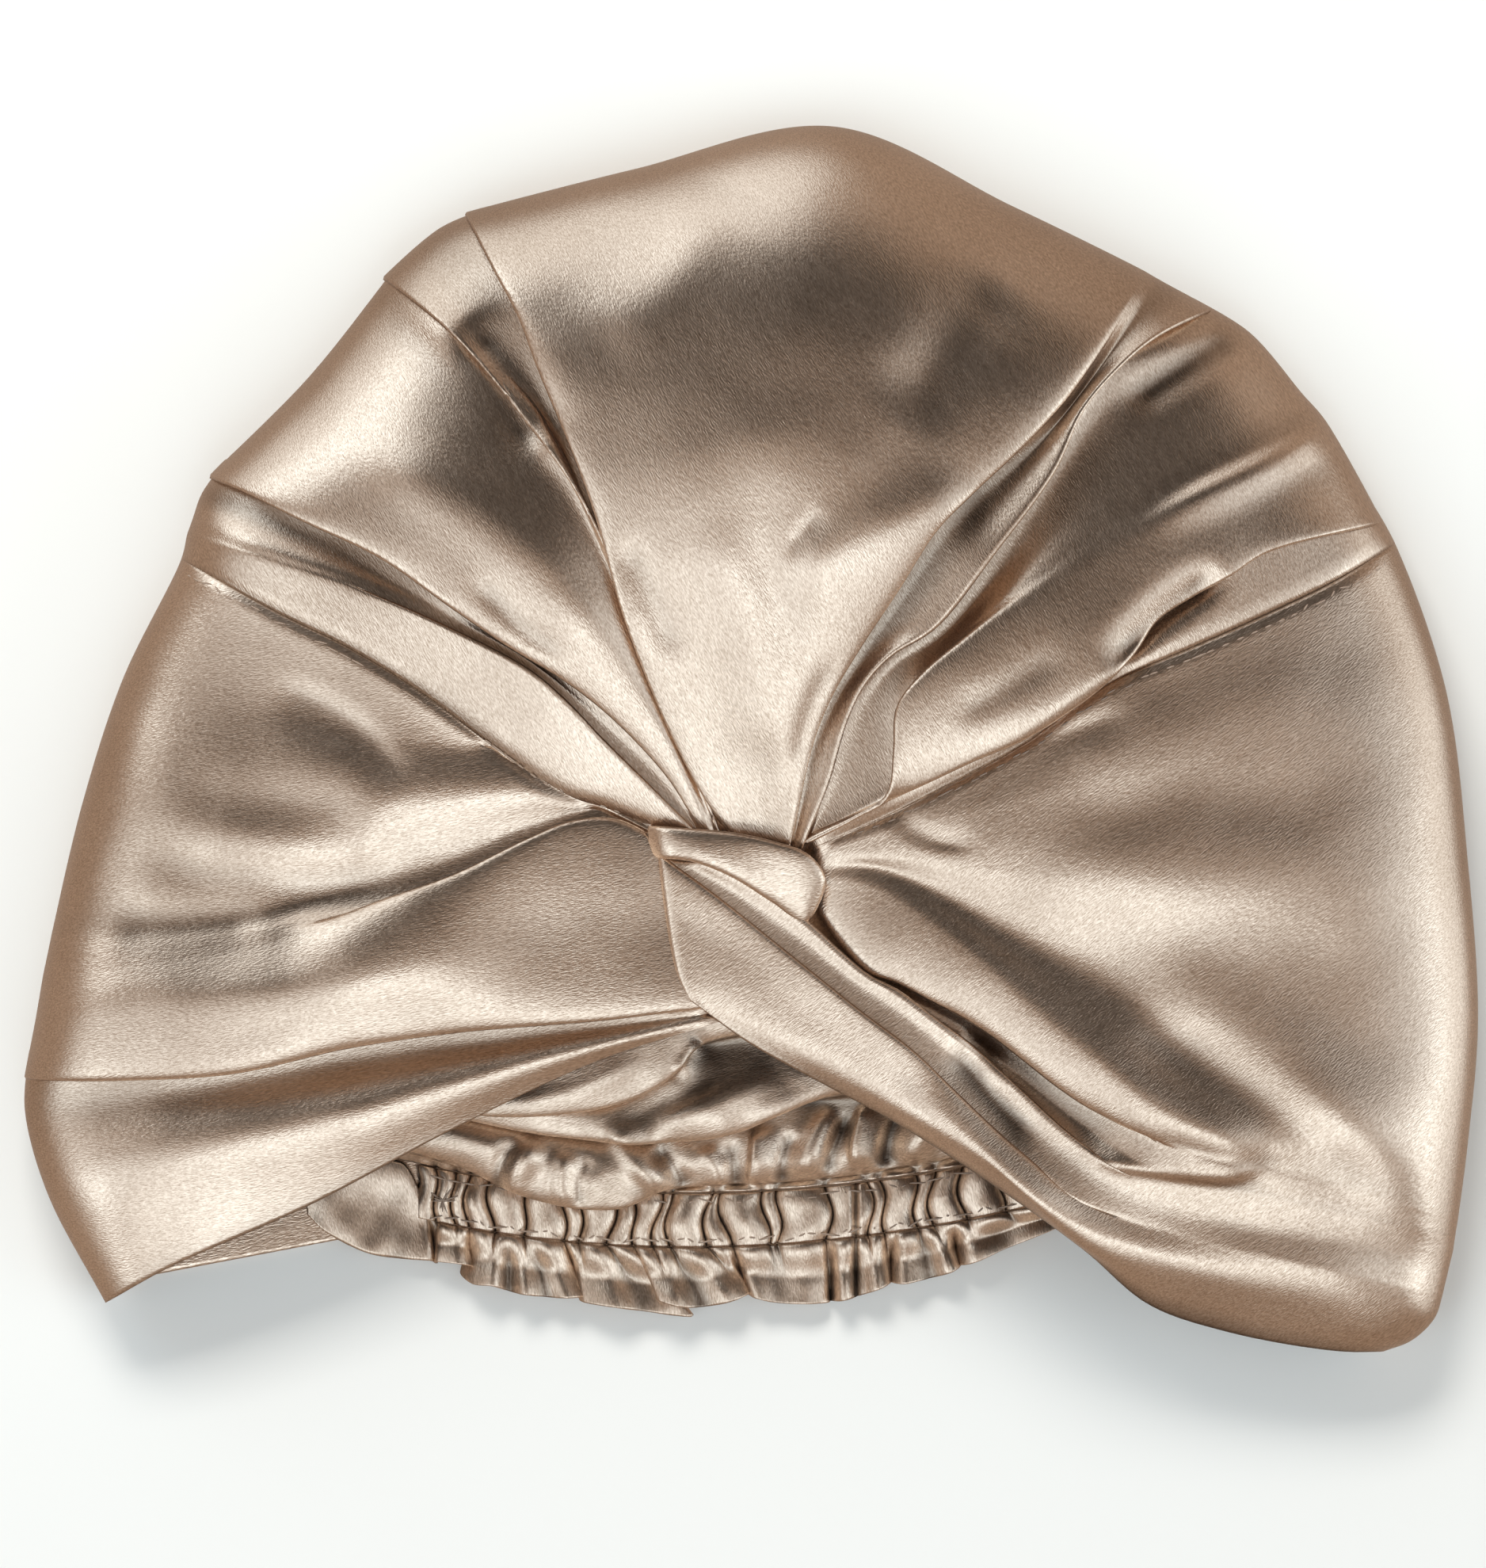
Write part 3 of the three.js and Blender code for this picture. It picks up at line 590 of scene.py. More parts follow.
def foldLine(row, stations):
    line = lineOf(row["path"], stations)
    knotLevel = bonnet["knot"] + row["knot"] * bonnet["layer"]
    rise = 1 - np.maximum(0, 1 - stations / bonnet["riseEnd"]) ** bonnet["riseBend"]
    inner = knotLevel + (row["mid"] * bonnet["puff"] - knotLevel) * rise
    outward = smoothStep(row["until"] - bonnet["outerBlend"], row["until"], stations)
    level = inner + (row["outer"] * bonnet["puff"] - inner) * outward
    crownFall = np.sqrt(np.maximum(0, 1 - stations ** bonnet["roundness"]))
    sideFall = 1 - bonnet["sideFall"] * stations ** bonnet["sideFallBend"]
    sideFall = sideFall * np.sqrt(np.maximum(0, 1 - stations ** bonnet["sideTurn"]))
    crown = smoothStep(*bonnet["sideToCrown"], row["path"][-1][1])  # the sides turn over later than the crown
    fall = crownFall * crown + sideFall * (1 - crown)
    line[:, 2] = bonnet["rim"] + (level - bonnet["rim"]) * fall
    return line


def turnedUnder(row, lip, panelSide, hollow):  # the hidden line where a lip's cloth turns forward again
    back = panelSide - lip
    back[:, 2] = 0
    back /= np.maximum(np.linalg.norm(back, axis=1, keepdims=True), 1e-6)
    room = np.linalg.norm((panelSide - lip)[:, :2], axis=1)
    depth = abs(row["under"]) * smoothStep(0.0, under["from"], frontStations)
    line = lip + back * np.minimum(depth, under["most"] * room)[:, None]
    line[:, 2] = lip[:, 2] + (hollow[:, 2] - lip[:, 2]) * under["drop"]
    if not row["fades"]:
        return line
    held = 1 - smoothStep(row["until"] - under["fade"], row["until"], frontStations)[:, None]
    return line * held + (lip + (hollow - lip) * under["faded"]) * (1 - held)


def fanGrid():
    lines = [foldLine(row, frontStations) for row in allFolds]
    rows, marks, ends = [], [], []
    for i, row in enumerate(allFolds):
        if row["under"] < 0:
            rows.append(turnedUnder(row, lines[i], lines[i + 1], lines[i - 1]))
            ends.append(row["end"])
        marks.append(len(rows))
        rows.append(lines[i])
        ends.append(row["end"])
        if row["under"] > 0:
            rows.append(turnedUnder(row, lines[i], lines[i - 1], lines[i + 1]))
            ends.append(row["end"])
    gaps = [np.linalg.norm(b - a, axis=1) for a, b in zip(rows, rows[1:])]
    apart = [np.percentile(gap, fan["measure"]) for gap in gaps]
    counts = [int(np.clip(gap / fan["columnStep"], fan["least"], fan["most"])) for gap in apart]
    grid = lineThrough(rows, counts)
    starts = np.concatenate([[0], np.cumsum(counts)])
    endOf = np.interp(np.arange(len(grid)), starts, ends)
    return grid, starts[marks], endOf


def endRows(grid, endOf):  # the cloth's run on under the twist, or its turned edge
    inward = grid[:, 0] - grid[:, 2]
    inward[:, 2] = 0
    inward /= np.linalg.norm(inward, axis=1, keepdims=True)
    start = grid[:, 0]
    rows = []
    radius = fan["bendRadius"]
    for k in range(1, fan["endRows"] + 1):
        share = k / fan["endRows"]
        on = start + inward * (np.abs(endOf) * share)[:, None]
        on[:, 2] = start[:, 2] - fan["endDrop"] * share ** 2
        bent = share * fan["bendShare"]
        angle = min(1, bent) * np.pi
        run = max(0, bent - 1) / (fan["bendShare"] - 1)
        back = start + inward * (radius * math.sin(angle) - run * np.abs(endOf)[:, None])
        back[:, 2] = start[:, 2] - radius * (1 - math.cos(angle))
        rows.append(np.where((endOf > 0)[:, None], on, back))
    return np.stack(rows[::-1], axis=1)


def rollRows(grid):  # the side that turns over and in, down to the surface
    rim = grid[:, -1]
    inward = grid[:, -fan["rollFrom"]] - rim
    inward[:, 2] = 0
    inward /= np.linalg.norm(inward, axis=1, keepdims=True)
    rows = []
    for k in range(1, fan["roll"] + 1):
        turn = k / fan["roll"] * np.pi / 2
        row = rim + inward * bonnet["rimTurn"] * (1 - math.cos(turn))
        row[:, 2] = bonnet["rim"] - (bonnet["rim"] - lying) * math.sin(turn)
        rows.append(row)
    return np.stack(rows, axis=1)


shell, marks, endOf = fanGrid()
leftSeam = marks[len(leftFolds)]
rightSeam = marks[len(leftFolds) + len(crownFolds)]
frontMask = np.concatenate([np.ones(fan["endRows"]), 1 - smoothStep(fan["flatBefore"], 1.0, frontStations),
                            np.zeros(fan["roll"])])
shell = np.concatenate([endRows(shell, endOf), shell, rollRows(shell)], axis=1)
print("front fan:", shell.shape)


# The nape line, along the channel's upper row of stitches, and places on it.
nape = {
    "left": (-0.43, -0.705), "middle": (-0.03, -0.745), "right": (0.4, -0.675),
    "channel": 10.8 * mm,
    "ruffle": 11.5 * mm,
    "clear": 0.5 * mm,
    "from": -0.3, "to": 1.1, "steps": 200,  # of the line on which the lining finds its share
}


def napePoints(shares, outward, height):  # outward is towards the free edge
    left, middle, right = [place(*nape[key]) for key in ("left", "middle", "right")]
    pull = 2 * middle - (left + right) / 2
    s = np.asarray(shares)[..., None]
    points = left * (1 - s) ** 2 + pull * 2 * s * (1 - s) + right * s ** 2
    points[..., 1] -= outward
    points[..., 2] = height
    return points


def backRows(columns, ends):  # the flat back, from where the rolled side rests to its end
    start = columns[:, -1]
    share = (np.arange(fan["back"]) + 1) / fan["back"]
    rows = start[:, None] + (ends - start)[:, None] * share[None, :, None]
    rows[..., 2] = lying
    return np.concatenate([columns, rows], axis=1)


# creases pressed into the front

crownCreases = [
    crease("notch hollow", [(-0.27, 0.45), (-0.33, 0.57), (-0.395, 0.68)], -2.4, 4.8, 6.0),
    crease("shoulder ridge", [(-0.225, 0.41), (-0.35, 0.58), (-0.495, 0.735)], 0.9, 4, 4),
    crease("side panel swell", [(-0.15, 0.08), (-0.3, 0.28), (-0.55, 0.5)], 1.3, 7, 8),
    crease("side panel wrinkle", [(-0.24, 0.13), (-0.3, 0.17), (-0.38, 0.26)], -0.5, 2, 3),
    crease("tongue swell", [(0.03, 0.24), (0.15, 0.31), (0.31, 0.4)], 1.5, 7, 11),
    crease("tongue fold", [(0.02, -0.05), (0.0, 0.2), (-0.06, 0.36)], 0.9, 6, 6),
    crease("tongue dent", [(0.05, 0.29), (0.075, 0.33), (0.1, 0.36)], -0.5, 2, 2.5),
    crease("tongue side wrinkle", [(-0.1, 0.12), (-0.13, 0.22), (-0.18, 0.33)], -0.7, 3, 4),
    crease("tongue low wrinkle", [(0.06, -0.06), (0.08, 0.04), (0.12, 0.14)], -0.6, 2.5, 3),
    crease("tongue top swell", [(-0.2, 0.62), (-0.1, 0.75), (-0.05, 0.9)], 0.9, 9, 8),
    crease("tongue top hollow", [(0.2, 0.5), (0.27, 0.63), (0.36, 0.74)], -1.2, 8, 9),
    crease("panel valley", [(0.50, 0.53), (0.62, 0.62), (0.685, 0.675)], -1.4, 4, 4),
    crease("panel gap", [(0.48, 0.11), (0.56, 0.2), (0.65, 0.275)], -2.2, 3.5, 2.5),
    crease("panel wrinkle", [(0.27, 0.03), (0.35, 0.08), (0.43, 0.14)], -0.5, 3.5, 2.5),
    crease("panel upper ridge", [(0.5, 0.31), (0.6, 0.385), (0.7, 0.445), (0.79, 0.505)], 1.4, 2.2, 4.5,
           fade=(0.5, 0.02)),
    crease("low panel wrinkle", [(-0.62, 0.33), (-0.5, 0.27), (-0.38, 0.19)], 0.3, 2, 3),
]
leftCreases = [
    crease("wing wrinkle", [(-0.46, -0.09), (-0.53, 0.01), (-0.58, 0.05), (-0.66, 0.09)], -0.7, 6, 3),
    crease("wing swell", [(-0.2, -0.1), (-0.4, -0.075), (-0.7, -0.03)], 0.7, 8, 8),
    crease("first hollow", [(-0.5, -0.12), (-0.65, -0.12), (-0.8, -0.1)], -1.0, 7, 7),
    crease("first swell", [(-0.45, -0.17), (-0.6, -0.18), (-0.8, -0.14)], 1.0, 7, 7),
    crease("second hollow", [(-0.45, -0.22), (-0.65, -0.225), (-0.85, -0.2)], -1.1, 7, 8),
    crease("second swell", [(-0.6, -0.26), (-0.75, -0.255), (-0.88, -0.24)], 0.7, 5.5, 5.5),
    crease("third hollow", [(-0.65, -0.3), (-0.75, -0.295), (-0.88, -0.29)], -0.8, 7, 7),
    crease("roll dent", [(-0.52, -0.34), (-0.66, -0.375), (-0.8, -0.37)], -0.5, 7, 7, fade=(0.5, 0.5)),
    crease("roll bump", [(-0.32, -0.3), (-0.46, -0.35), (-0.62, -0.4)], 0.6, 10, 10, fade=(0.5, 0.5)),
    crease("roll hollow", [(-0.16, -0.24), (-0.28, -0.32), (-0.42, -0.4)], -1.1, 11, 11, fade=(0.5, 0.5)),
    crease("lip fold", [(-0.35, -0.43), (-0.55, -0.455), (-0.8, -0.5)], -0.6, 5.5, 5.5),
    crease("lobe swell", [(-0.45, -0.6), (-0.65, -0.63), (-0.9, -0.66)], 0.7, 11, 10),
    crease("lobe hollow", [(-0.5, -0.66), (-0.65, -0.71), (-0.88, -0.76)], -0.6, 11, 10),
    crease("lobe edge swell", [(-0.5, -0.69), (-0.65, -0.76), (-0.82, -0.84)], 0.6, 8, 8),
]
rightCreases = [
    crease("wing thin wrinkle", [(0.174, -0.108), (0.242, -0.161), (0.31, -0.175)], -0.4, 2.5, 1.6),
    crease("wing side swell", [(0.5, -0.38), (0.6, -0.43), (0.7, -0.5), (0.8, -0.6), (0.93, -0.72)],
           1.3, 10, 8),
    crease("wing side hollow", [(0.5, -0.45), (0.62, -0.54), (0.75, -0.64), (0.88, -0.77)], -1.2, 6, 7),
    crease("lobe lip", [(0.45, -0.66), (0.52, -0.68), (0.6, -0.693), (0.65, -0.695), (0.71, -0.68)],
           1.9, 8, 2.2, lean=-1),
    crease("roll dent", [(0.29, -0.485), (0.315, -0.51), (0.345, -0.535)], -1.0, 3, 4),
    crease("strap shadow", [(0.265, -0.5), (0.32, -0.57), (0.39, -0.655)], -1.2, 3, 3),
    crease("seam wrinkle", [(0.36, -0.02), (0.45, 0.015), (0.54, 0.045)], -0.5, 2.5, 4, fade=(0.4, 0.4)),
    crease("upper swell", [(0.35, -0.05), (0.55, 0.02), (0.8, 0.1)], 0.5, 9, 9),
    crease("upper hollow", [(0.35, -0.12), (0.6, -0.1), (0.88, -0.08)], -0.6, 9, 9),
    crease("middle swell", [(0.35, -0.2), (0.6, -0.22), (0.93, -0.25)], 0.6, 10, 10),
    crease("lobe swell", [(0.5, -0.82), (0.68, -0.86), (0.88, -0.88)], 0.9, 8, 8),
    crease("lobe hollow", [(0.6, -0.76), (0.75, -0.79), (0.93, -0.81)], -0.5, 7, 7),
    crease("strap swell", [(0.2, -0.57), (0.32, -0.68), (0.45, -0.79)], 0.9, 5, 5),
]

panels = {
    "rumple": (34 * mm, 0.6 * mm), "fineRumple": (11 * mm, 0.13 * mm),
    # reach along and across, in points, and depth of the painted shade in the folds
    "hollow": (6, 2, 1.5 * mm),
    "knee": 0.12,  # share of a band's back edge that follows the side of the channel
    "reach": 0.95,  # how far up the seam the rest of it comes
}


seamDip = {"depth": 0.7, "wide": 1.3, "fade": (0.02, 0.001)}
seams = [crease("side seam", row["path"], -seamDip["depth"], seamDip["wide"], seamDip["wide"],
                fade=seamDip["fade"]) for row in (crownFolds[0], rightFolds[0])]


def panel(name, first, last, creases, material, backEnds, node):
    grid = shell[first:last + 1]
    grid = press(grid, [*creases, *seams], frontMask)
    for size, depth in (panels["rumple"], panels["fineRumple"]):
        grid = rumple(grid, size, depth, frontMask)
    grid = backRows(grid, backEnds(grid))
    # the front's folds get painted shade
    piece = makeSheet(name, grid, material, paintedShade=paintedShadeOf(grid, *panels["hollow"]))
    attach(piece, "root")
    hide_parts(node)
    print(name, "columns", len(grid), "area", round(sheetArea(grid), 4))
    return piece, grid


def crownEnds(grid):
    return napePoints(np.linspace(0, 1, len(grid)), -nape["clear"], lying)


def bandEnds(seamColumn, share, side):
    def ends(grid):
        apart = np.array([side * nape["clear"], 0, 0])
        top = shell[seamColumn, -1] + apart
        corner = napePoints(share, -nape["clear"], lying) + apart
        foot = napePoints(share, nape["channel"], lying) + apart
        k = np.linspace(0, 1, len(grid))
        if side > 0:
            k = 1 - k
        knee = panels["knee"]
        up = np.clip((k - knee) / (1 - knee), 0, 1)[:, None] * panels["reach"]
        low = np.clip(k / knee, 0, 1)[:, None]
        return np.where(k[:, None] < knee, foot + (corner - foot) * low, corner + (top - corner) * up)
    return ends


crownPiece, _ = panel("crown_satin", leftSeam, rightSeam, crownCreases, crownSatin, crownEnds, "crown")
leftPiece, leftGrid = panel("left_band_satin", 0, leftSeam, leftCreases, leftSatin,
                            bandEnds(leftSeam, 0.0, -1), "band_left")
rightPiece, rightGrid = panel("right_band_satin", rightSeam, len(shell) - 1, rightCreases, rightSatin,
                              bandEnds(rightSeam, 1.0, 1), "band_right")


# the loop that closes the twist: its two edges in shares, and their layers in the twist

loopSections = [
    {"x": -0.138, "upper": (-0.142, 0.6), "lower": (-0.185, -0.4)},
    {"x": -0.118, "upper": (-0.143, 1.9), "lower": (-0.191, 1.6)},
    {"x": -0.082, "upper": (-0.146, 2.4), "lower": (-0.195, 2.5)},
    {"x": -0.026, "upper": (-0.152, 2.4), "lower": (-0.22, 2.3)},
    {"x": 0.03, "upper": (-0.166, 2.3), "lower": (-0.262, 1.0)},
    {"x": 0.074, "upper": (-0.184, 2.0), "lower": (-0.296, 0.2)},
    {"x": 0.094, "upper": (-0.207, 1.4), "lower": (-0.262, 0.2)},
    {"x": 0.101, "upper": (-0.223, 0.8), "lower": (-0.238, 0.2)},
]
loop = {"steps": 10, "around": 28, "thick": 1.3 * mm, "fullness": 0.6, "cloth": 0.5 * mm, "weld": 0.01 * mm}


def makeLoop():
    def edge(key):
        rows = []
        for row in loopSections:
            y, layer = row[key]
            rows.append(place(row["x"], y, bonnet["knot"] + layer * bonnet["layer"]))
        return lineThrough(rows, [loop["steps"]] * (len(rows) - 1))
    upper, lower = edge("upper"), edge("lower")
    angles = np.linspace(0, 2 * np.pi, loop["around"] + 1)
    across = (1 - np.cos(angles)) / 2
    points = lower[:, None] + (upper - lower)[:, None] * across[None, :, None]
    rounded = np.sign(np.sin(angles)) * np.abs(np.sin(angles)) ** loop["fullness"]
    points[..., 2] += loop["thick"] * rounded
    piece = makeSheet("twist_loop_satin", points, leftSatin, loop["cloth"])
    bm = bmesh.new()
    bm.from_mesh(piece.data)
    bmesh.ops.remove_doubles(bm, verts=bm.verts, dist=loop["weld"])
    bmesh.ops.recalc_face_normals(bm, faces=bm.faces)
    bm.to_mesh(piece.data)
    bm.free()
    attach(piece, "root")
    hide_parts("twist_loop")
    print("loop area", round(sheetArea(points), 5))
    return piece


loopPiece = makeLoop()


# The gathered channel. Each gather is a deep line between two puffs, at a share of the channel on the
# upper and on the lower row of stitches.
channelGathers = [
    (-0.04, -0.04), (-0.01, 0.0), (0.024, 0.03), (0.052, 0.05), (0.09, 0.094), (0.165, 0.145), (0.22, 0.22),
    (0.245, 0.25), (0.31, 0.3), (0.335, 0.345), (0.385, 0.375), (0.4, 0.4), (0.47, 0.458), (0.485, 0.5),
    (0.56, 0.565), (0.585, 0.58), (0.665, 0.665), (0.73, 0.735), (0.745, 0.76), (0.8, 0.81), (0.83, 0.83),
    (0.875, 0.88), (0.94, 0.94), (1.02, 1.02), (1.08, 1.08),
]
channel = {
    "columns": 620, "rows": 44, "from": -0.035, "to": 1.06, "last": 1.05,
    "high": 5.6 * mm, "low": 2.6 * mm, "pinch": 0.86,
    "rumple": (6 * mm, 0.7 * mm),
    "fullness": 0.45,  # lower makes the puffs fuller
    "archFullness": 0.6,
    "sway": 0.007,  # how far a gather bends to and fro on its way, as a share of the channel
    "swayTurns": (5, 7),  # from one row of stitches to the other, and from one gather to the next
    "leastTall": 0.35,  # a narrow puff is only this high, and each share of width adds to it
    "tallPerWidth": 14,
    "cloth": 0.5 * mm,
    # reach along and across, in points, and depth of the painted shade in the gathers
    "hollow": (9, 6, 1.1 * mm),
}


def puffs(shares, lines):  # 0 in a gather, 1 on top of the puff between two, and how wide the puff is
    lines = np.asarray(lines)
    k = np.clip(np.searchsorted(lines, shares, side="right") - 1, 0, len(lines) - 2)
    wide = lines[k + 1] - lines[k]
    inside = np.clip((shares - lines[k]) / wide, 0, 1)
    return np.sin(np.pi * inside) ** channel["fullness"], wide


def channelHeight(shares, w):  # w is 0 at the upper row of stitches and 1 at the lower
    onWay, onNext = channel["swayTurns"]
    lines = [(1 - w) * a + w * b + channel["sway"] * math.sin(onWay * w + onNext * k)
             for k, (a, b) in enumerate(channelGathers)]
    puff, wide = puffs(shares, lines)
    arch = max(0.0, math.sin(math.pi * w)) ** channel["archFullness"]
    full = np.clip(channel["leastTall"] + channel["tallPerWidth"] * wide, 0, 1)
    tall = channel["low"] + (channel["high"] - channel["low"]) * puff * full
    return tall * (channel["pinch"] + (1 - channel["pinch"]) * arch)


# where the ends of the channel's strip are sewn together, down to the free edge
joinSeam = crease("joining seam", [(0.146, -0.705), (0.146, -0.93)], -1.4, 0.7, 0.9, fade=(0.02, 0.02))


def makeChannel():
    s = np.linspace(channel["from"], channel["to"], channel["columns"])
    across = np.linspace(1, 0, channel["rows"])
    points = np.zeros((channel["columns"], channel["rows"], 3))
    for j, w in enumerate(across):
        points[:, j] = napePoints(s, w * nape["channel"], 0)
        points[:, j, 2] = channelHeight(s, w)
    inner = (np.sin(np.pi * across) ** 0.5)[None] * np.ones((len(points), 1))
    points = rumple(points, *channel["rumple"], inner)
    points = press(points, [joinSeam], 1.0)
    # painted shade for the channel's gathers
    paintedShade = paintedShadeOf(points, *channel["hollow"])
    piece = makeSheet("nape_channel_satin", points, napeSatin, channel["cloth"], paintedShade)
    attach(piece, "root")
    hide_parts("nape_casing")
    print("channel area", round(sheetArea(points), 5))
    return piece, points


channelPiece, channelGrid = makeChannel()


# The loose lining in the mouth, in lines across it from the channel up, in the order of the cloth.
# Each has places in shares with a height in mm. Where a line lies further up than the next, the next
# is a lip that hangs over it.
liningLines = [
    ("foot", [(-0.56, -0.655, 2.6), (-0.4, -0.702, 3.2), (-0.2, -0.728, 3.4), (0, -0.735, 3.4),
              (0.2, -0.714, 3.2), (0.46, -0.652, 2.6)]),
    ("under the sack", [(-0.56, -0.65, 4.5), (-0.4, -0.698, 5.2), (-0.3, -0.728, 6), (-0.2, -0.742, 5.5),
                        (-0.1, -0.732, 4), (0.05, -0.726, 3.6), (0.2, -0.705, 3.4), (0.46, -0.642, 3)]),
    ("sack edge", [(-0.56, -0.655, 7), (-0.45, -0.675, 7.6), (-0.393, -0.7, 8.2), (-0.33, -0.738, 8.8),
                   (-0.275, -0.758, 9), (-0.219, -0.768, 9), (-0.173, -0.765, 8.4), (-0.12, -0.738, 6.4),
                   (-0.05, -0.728, 5.6), (0.05, -0.722, 5.2), (0.2, -0.7, 5), (0.46, -0.637, 4)]),
    ("sack", [(-0.56, -0.6, 9), (-0.45, -0.632, 10), (-0.37, -0.662, 11), (-0.28, -0.7, 11.6),
              (-0.2, -0.712, 11), (-0.12, -0.702, 8.6), (-0.04, -0.7, 7.6), (0.05, -0.69, 8),
              (0.2, -0.66, 7.6), (0.46, -0.58, 6)]),
    ("under the second swag", [(-0.56, -0.56, 7), (-0.42, -0.6, 8.6), (-0.3, -0.626, 9), (-0.2, -0.64, 8),
                               (-0.1, -0.634, 7), (-0.03, -0.626, 6.8), (0.05, -0.594, 7), (0.2, -0.58, 7),
                               (0.46, -0.5, 6)]),
    ("second swag lip", [(-0.56, -0.565, 9), (-0.42, -0.612, 10.4), (-0.3, -0.642, 11.6),
                         (-0.23, -0.652, 12.2),
                         (-0.164, -0.66, 12.4), (-0.109, -0.656, 12.4), (-0.054, -0.651, 12.4),
                         (-0.01, -0.638, 12.4), (0.029, -0.618, 12.4), (0.084, -0.59, 11.6),
                         (0.14, -0.57, 10), (0.25, -0.54, 8.5), (0.46, -0.46, 7)]),
    ("second swag", [(-0.56, -0.53, 10), (-0.42, -0.585, 12), (-0.25, -0.618, 13.6), (-0.12, -0.61, 14.2),
                     (-0.02, -0.59, 14.2), (0.08, -0.55, 12.5), (0.25, -0.49, 10), (0.46, -0.42, 8)]),
    ("under the first swag", [(-0.56, -0.5, 10), (-0.4, -0.565, 12), (-0.25, -0.582, 12.6),
                              (-0.14, -0.552, 12.4), (-0.07, -0.5, 11.6), (0.05, -0.48, 10.6),
                              (0.25, -0.44, 9), (0.46, -0.38, 7)]),
    ("first swag lip", [(-0.56, -0.53, 12.6), (-0.45, -0.585, 14), (-0.379, -0.61, 15.4), (-0.33, -0.614, 16),
                        (-0.26, -0.61, 16.4), (-0.203, -0.6, 16.4), (-0.14, -0.574, 16), (-0.1, -0.54, 15),
                        (-0.07, -0.5, 13.6), (0.05, -0.46, 12), (0.25, -0.42, 10), (0.46, -0.36, 8)]),
    ("first swag", [(-0.56, -0.47, 13.4), (-0.4, -0.545, 16.4), (-0.26, -0.55, 17.6), (-0.16, -0.52, 17),
                    (-0.07, -0.46, 15), (0.05, -0.42, 13), (0.25, -0.39, 11), (0.46, -0.34, 8)]),
    ("top", [(-0.56, -0.4, 12), (-0.35, -0.42, 14), (-0.2, -0.4, 14), (-0.05, -0.38, 13), (0.2, -0.36, 11),
             (0.46, -0.32, 8)]),
]
lining = {
    "columns": 250, "steps": [5, 8, 12, 14, 8, 12, 12, 6, 12, 12], "acrossSteps": 16,
    "from": -0.54, "to": 0.45,
    "rumple": (13 * mm, 1.2 * mm), "fineRumple": (6 * mm, 0.3 * mm),
    "footing": 0.07,  # share of the way up over which it leaves the channel's seam
    "calm": 0.12,  # share of the way up over which the rumple begins
    "cloth": 0.5 * mm,
    # reach along and across, in points, and depth of the painted shade in the folds
    "hollow": (6, 8, 1.4 * mm),
}
# the gathers that rise from the channel, and the folds between the swags
liningCreases = [
    crease("left streak", [(-0.33, -0.76), (-0.318, -0.7), (-0.29, -0.65)], 1.5, 2, 3),
    crease("left streak hollow", [(-0.35, -0.76), (-0.345, -0.7), (-0.325, -0.65)], -1.3, 2, 2),
    crease("left gather", [(-0.255, -0.77), (-0.262, -0.72), (-0.25, -0.67)], 1.1, 2, 2),
    crease("left gather hollow", [(-0.23, -0.77), (-0.235, -0.72), (-0.215, -0.68)], -1.0, 2, 2),
    crease("centre ridge", [(-0.109, -0.748), (-0.131, -0.728), (-0.164, -0.68), (-0.2, -0.625)], 1.5, 2, 4),
    crease("centre hollow", [(-0.085, -0.745), (-0.1, -0.71), (-0.135, -0.665)], -1.8, 2.5, 2.5),
    crease("middle gather", [(-0.045, -0.74), (-0.05, -0.7), (-0.065, -0.665)], 1.1, 2, 2),
    crease("middle hollow", [(-0.02, -0.74), (-0.022, -0.69), (-0.03, -0.655)], -1.2, 2, 2),
    crease("right lip", [(0.004, -0.741), (0.01, -0.69), (0.012, -0.63)], 1.8, 1.2, 3, lean=0.8),
    crease("right hollow", [(0.045, -0.735), (0.045, -0.69), (0.06, -0.64)], -1.6, 2, 2),
    crease("right ridge", [(0.07, -0.725), (0.088, -0.66), (0.117, -0.6)], 1.7, 2, 3),
    crease("right second hollow", [(0.105, -0.72), (0.115, -0.67), (0.135, -0.61)], -1.8, 2, 2),
    crease("flap", [(0.15, -0.71), (0.15, -0.66), (0.165, -0.59)], 2.2, 1.5, 3, lean=0.8),
    crease("flap gap", [(0.185, -0.71), (0.19, -0.66), (0.21, -0.6)], -2.4, 2, 2.5),
    crease("right end ridge", [(0.215, -0.7), (0.235, -0.65), (0.27, -0.6)], 1.6, 2, 3),
    crease("second swag fold", [(-0.14, -0.64), (-0.06, -0.6), (0.04, -0.54)], 0.9, 2, 4),
    crease("second swag hollow", [(-0.2, -0.63), (-0.1, -0.59), (-0.02, -0.53)], -1.0, 2.5, 2.5),
    crease("first swag fold", [(-0.36, -0.6), (-0.25, -0.575), (-0.13, -0.52)], 0.8, 2, 3),
    crease("swag pinch", [(-0.1, -0.55), (-0.085, -0.52), (-0.07, -0.49)], 1.2, 1.5, 2),
]


napeSteps = np.linspace(nape["from"], nape["to"], nape["steps"])
napeLine = napePoints(napeSteps, 0, 0)


